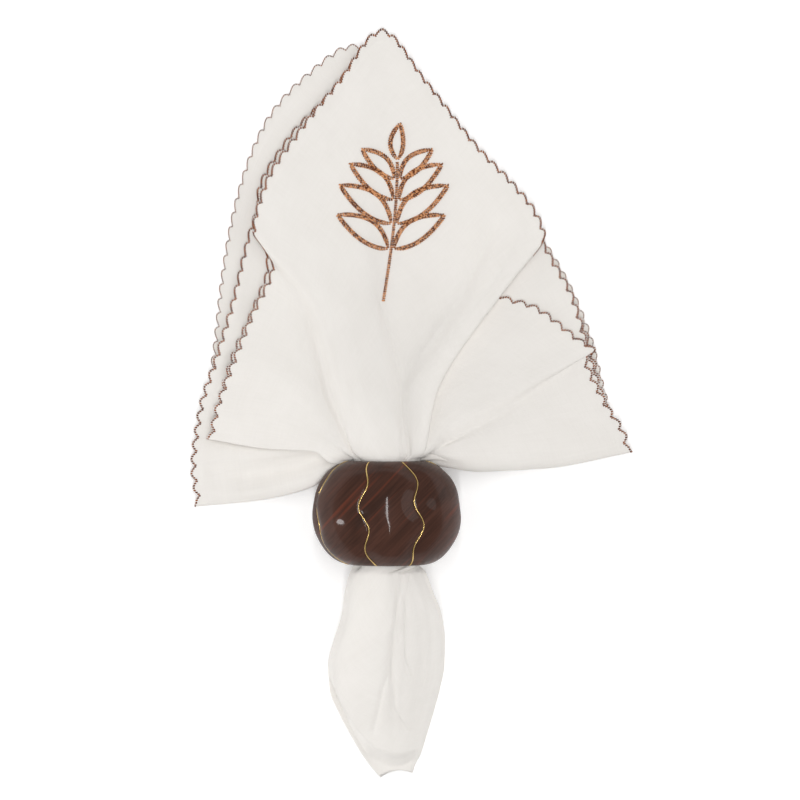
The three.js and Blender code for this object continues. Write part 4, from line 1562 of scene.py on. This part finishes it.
@dataclass
class LobedRing:
    """The wooden ring: a turned ball with flat ends, bored through, with lobes between wires."""

    rim_radius: float = RIM_RADIUS
    bore_radius: float = 16.8
    mouth_radius: float = 17.3
    mouth_depth: float = 3.0
    wire_angles: tuple[float, ...] = (-78, -19, 27, 93, 150, 214)
    wire_radius: float = 0.34
    wire_drift: float = 3.0
    wire_wave: float = 3.7
    wire_waves: float = 2.3
    wire_phase: float = 3.1
    wire_phase_step: float = 0.5
    valley_depth: float = 1.25
    valley_reach: float = 13.0
    shoulder_depth: float = 0.8
    shoulder: float = 5.6
    groove_depth: float = 0.36
    groove_half_width: float = 0.6
    end_fade: float = 0.42
    end_power: float = 0.7
    mouth_edge: float = 0.4
    mouth_steps: int = 7
    side_steps: int = 90
    round_steps: int = 420
    wire_limit: float = 84.0
    wire_steps: int = 72
    wire_sink: float = 0.75
    wire_taper: float = 8.0
    wire_end: float = 0.35

    def side_radius(self, side: Array) -> Array:
        """The radius at an angle up the rounded side, from -90 to 90 degrees."""
        return self.rim_radius + (RING_RADIUS - self.rim_radius) * np.cos(side)

    def wire_angle(self, index: int, side: Array) -> Array:
        """A wire's angle round the ring, which drifts and waves on its way over the side."""
        share = np.sin(side)
        phase = self.wire_phase + self.wire_phase_step * (index % 2)
        wave = self.wire_wave * np.sin(np.pi * self.wire_waves * share + phase)
        return np.radians(self.wire_angles[index] - self.wire_drift * share + wave)

    def end_share(self, side: Array) -> Array:
        """How much of the dents is left towards the flat ends."""
        return np.clip(np.cos(side) / self.end_fade, 0, 1) ** self.end_power

    def dent(self, away: Array) -> Array:
        """How deep the surface lies at a distance from the nearest wire."""
        near = np.clip(1 - away / self.valley_reach, 0, 1) ** 2.0
        flank = self.shoulder_depth * np.exp(-((away / self.shoulder) ** 3))
        groove = self.groove_depth * np.exp(-((away / self.groove_half_width) ** 4))
        return self.valley_depth * near + flank + groove

    def profile(self) -> list[Point]:
        """The ring's section in radius and y: over the side and back through the bore."""
        points = []
        for side in np.linspace(-math.pi / 2, math.pi / 2, self.side_steps + 1):
            points.append((float(self.side_radius(side)), RING_HALF_LENGTH * math.sin(side)))
        mouth = [(self.mouth_radius, RING_HALF_LENGTH)]
        for share in np.linspace(0, 1, self.mouth_steps):
            narrower = (self.mouth_radius - self.bore_radius) * math.sin(share * math.pi / 2)
            deeper = self.mouth_edge + (self.mouth_depth - self.mouth_edge) * share
            mouth.append((self.mouth_radius - narrower, RING_HALF_LENGTH - deeper))
        below = [(radius, -y) for radius, y in reversed(mouth)]
        return [*points, *mouth, (self.bore_radius, 0), *below]

    @staticmethod
    def placed(name: str, data: bpy.types.ID) -> Thing:
        """Put a new object into the scene and pick it."""
        piece = bpy.data.objects.new(name, data)
        bpy.context.collection.objects.link(piece)
        bpy.context.view_layer.objects.active = piece
        piece.select_set(True)
        return piece

    def build_body(self, material: Material) -> Thing:
        """Turn the section round the ring's axis and press the valleys into it.

        Args:
            material: The wood.

        Returns:
            The ring's body.
        """
        alone()
        profile = self.profile()
        centre = Vector((0, 0, AXIS_HEIGHT * MM))
        mesh = bpy.data.meshes.new("ring_wood")
        section = [(0, y * MM, (AXIS_HEIGHT + radius) * MM) for radius, y in profile]
        edges = [(k, (k + 1) % len(section)) for k in range(len(section))]
        mesh.from_pydata(section, edges, [])
        ring = self.placed("ring_wood", mesh)
        bpy.ops.object.mode_set(mode="EDIT")
        bpy.ops.mesh.select_all(action="SELECT")
        bpy.ops.mesh.spin(steps=self.round_steps, angle=2 * math.pi, center=centre, axis=(0, 1, 0))
        bpy.ops.mesh.select_all(action="SELECT")
        bpy.ops.mesh.remove_doubles(threshold=0.00001)
        bpy.ops.mesh.normals_make_consistent(inside=False)
        bpy.ops.object.mode_set(mode="OBJECT")
        self.press(mesh)
        mesh.polygons.foreach_set("use_smooth", np.ones(len(mesh.polygons), bool))
        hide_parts("ring_body")
        return dress(ring, material)

    def press(self, mesh: bpy.types.Mesh) -> None:
        """Press the valleys and grooves into the turned body, and flatten the spot it rests on."""
        points = np.empty(len(mesh.vertices) * 3)
        mesh.vertices.foreach_get("co", points)
        points = points.reshape(-1, 3) / MM
        x, y, z = points.T
        z = z - AXIS_HEIGHT
        radius, angle = np.hypot(x, z), np.arctan2(x, z)
        side = np.arcsin(np.clip(y / RING_HALF_LENGTH, -1, 1))
        outside = radius > self.rim_radius - 0.01
        away = np.full(len(points), np.inf)
        for index in range(len(self.wire_angles)):
            turn = angle - self.wire_angle(index, side)
            turn = np.abs((turn + np.pi) % (2 * np.pi) - np.pi)
            away = np.minimum(away, turn * radius)
        pressed = np.where(outside, radius - self.dent(away) * self.end_share(side), radius)
        points[:, 0] = pressed * np.sin(angle)
        points[:, 2] = np.maximum(AXIS_HEIGHT + pressed * np.cos(angle), 0)
        mesh.vertices.foreach_set("co", (points * MM).ravel())
        mesh.update()

    def build_wire(self, index: int, material: Material) -> Thing:
        """Draw one wire in its groove.

        Args:
            index: Which wire.
            material: The brass.

        Returns:
            The wire.
        """
        alone()
        limit = math.radians(self.wire_limit)
        side = np.linspace(-limit, limit, self.wire_steps)
        depth = self.dent(np.zeros(1)) * self.end_share(side) - self.wire_radius * self.wire_sink
        radius = self.side_radius(side) - depth
        angle = self.wire_angle(index, side)
        height = np.maximum(AXIS_HEIGHT + radius * np.cos(angle), self.wire_radius)
        path = np.column_stack([radius * np.sin(angle), RING_HALF_LENGTH * np.sin(side), height])
        line = bpy.data.curves.new(f"brass_wire_{index + 1}", "CURVE")
        line.dimensions = "3D"
        line.bevel_depth = self.wire_radius * MM
        line.bevel_resolution = 2
        line.use_fill_caps = True
        spline = line.splines.new("POLY")
        spline.points.add(len(path) - 1)
        taper = np.clip((limit - np.abs(side)) / math.radians(self.wire_taper), self.wire_end, 1)
        for point, place, share in zip(spline.points, path * MM, taper):
            point.co = (*place, 1)
            point.radius = share
        self.placed(line.name, line)
        bpy.ops.object.convert(target="MESH")
        wire = bpy.context.object
        wire.data.polygons.foreach_set("use_smooth", np.ones(len(wire.data.polygons), bool))
        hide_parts(f"ring_wire_{index + 1}")
        return dress(wire, material)


@dataclass
class Studio:
    """The floor, the lights and the camera."""

    aim: Point = (6.3, 54.9)
    eye: float = 1500.0
    lens: float = 135.0
    sensor: float = 36.0
    floor_size: float = 6.0
    ambient: float = 0.40
    far: float = 20.0
    lit: Place = (0, 0.05, 0.03)

    def build_floor(self, material: Material) -> None:
        """Lay the floor."""
        alone()
        bpy.ops.mesh.primitive_plane_add(size=self.floor_size, location=(0, 0, 0))
        floor = bpy.context.object
        floor.name = "floor"
        floor.data.materials.append(material)

    def build_camera(self) -> None:
        """Hang the camera straight over the table."""
        camera = bpy.data.cameras.new("camera")
        camera.lens = self.lens
        camera.sensor_width = self.sensor
        camera.clip_end = self.far
        holder = bpy.data.objects.new("camera", camera)
        holder.location = (self.aim[0] * MM, self.aim[1] * MM, self.eye * MM)
        bpy.context.collection.objects.link(holder)
        bpy.context.scene.camera = holder

    def build_light(self, name: str, place: Place, size: Point, power: float) -> None:
        """Hang a soft box that faces the ring.

        Args:
            name: Its name.
            place: Where it hangs, in metres.
            size: Its width and length, in metres.
            power: Its power in watts.
        """
        lamp = bpy.data.lights.new(name, "AREA")
        lamp.shape = "ELLIPSE"
        lamp.size, lamp.size_y = size
        lamp.energy = power
        holder = bpy.data.objects.new(name, lamp)
        holder.location = place
        away = Vector(place) - Vector(self.lit)
        holder.rotation_euler = away.to_track_quat("Z", "Y").to_euler()
        bpy.context.collection.objects.link(holder)

    def build_world(self) -> None:
        """Fill the room with even light."""
        world = bpy.data.worlds.new("room")
        world.use_nodes = True
        background = world.node_tree.nodes["Background"]
        background.inputs["Color"].default_value = (1, 1, 1, 1)
        background.inputs["Strength"].default_value = self.ambient
        bpy.context.scene.world = world
        bpy.context.scene.view_settings.view_transform = "Standard"


def main() -> None:
    """Build the napkin, its stitching, its ring and the studio."""
    logging.basicConfig(level=logging.INFO, format="%(name)s: %(message)s")
    napkin = Napkin()
    cloth = napkin.build(LinenFinish().material())
    log.info("cloth: %d faces", len(cloth.data.polygons))
    # Each thread's first colour is a deep tone with painted shade, its second a painted glint.
    hem_thread = ThreadFinish("hem_thread", (0.105, 0.027, 0.010), (0.36, 0.125, 0.048), 0.0, 0.6)
    hem = HemStitching().build(napkin, hem_thread.material())
    log.info("hem: %d faces", len(hem.data.polygons))
    sprig_thread = ThreadFinish("copper_thread", (0.15, 0.042, 0.014), (0.76, 0.37, 0.17), 0.1, 0.5)
    sprig = LeafSprig().build(cloth, sprig_thread.material())
    log.info("sprig: %d faces", len(sprig.data.polygons))
    ring = LobedRing()
    body = ring.build_body(WoodFinish().material())
    log.info("ring: %d faces", len(body.data.polygons))
    brass = BrassFinish().material()
    for index in range(len(ring.wire_angles)):
        ring.build_wire(index, brass)
    log.info("wires: %d", len(ring.wire_angles))
    studio = Studio()
    studio.build_floor(FloorFinish().material())
    studio.build_camera()
    studio.build_light("overhead strip", (0.0, 0.0, 1.75), (0.08, 2.0), 15.5)
    studio.build_light("left lamp", (-1.5, -0.3, 0.45), (0.2, 0.5), 6)
    studio.build_light("right box", (1.5, 0.35, 1.0), (0.9, 1.4), 5)
    studio.build_world()


if __name__ == "__main__":
    main()
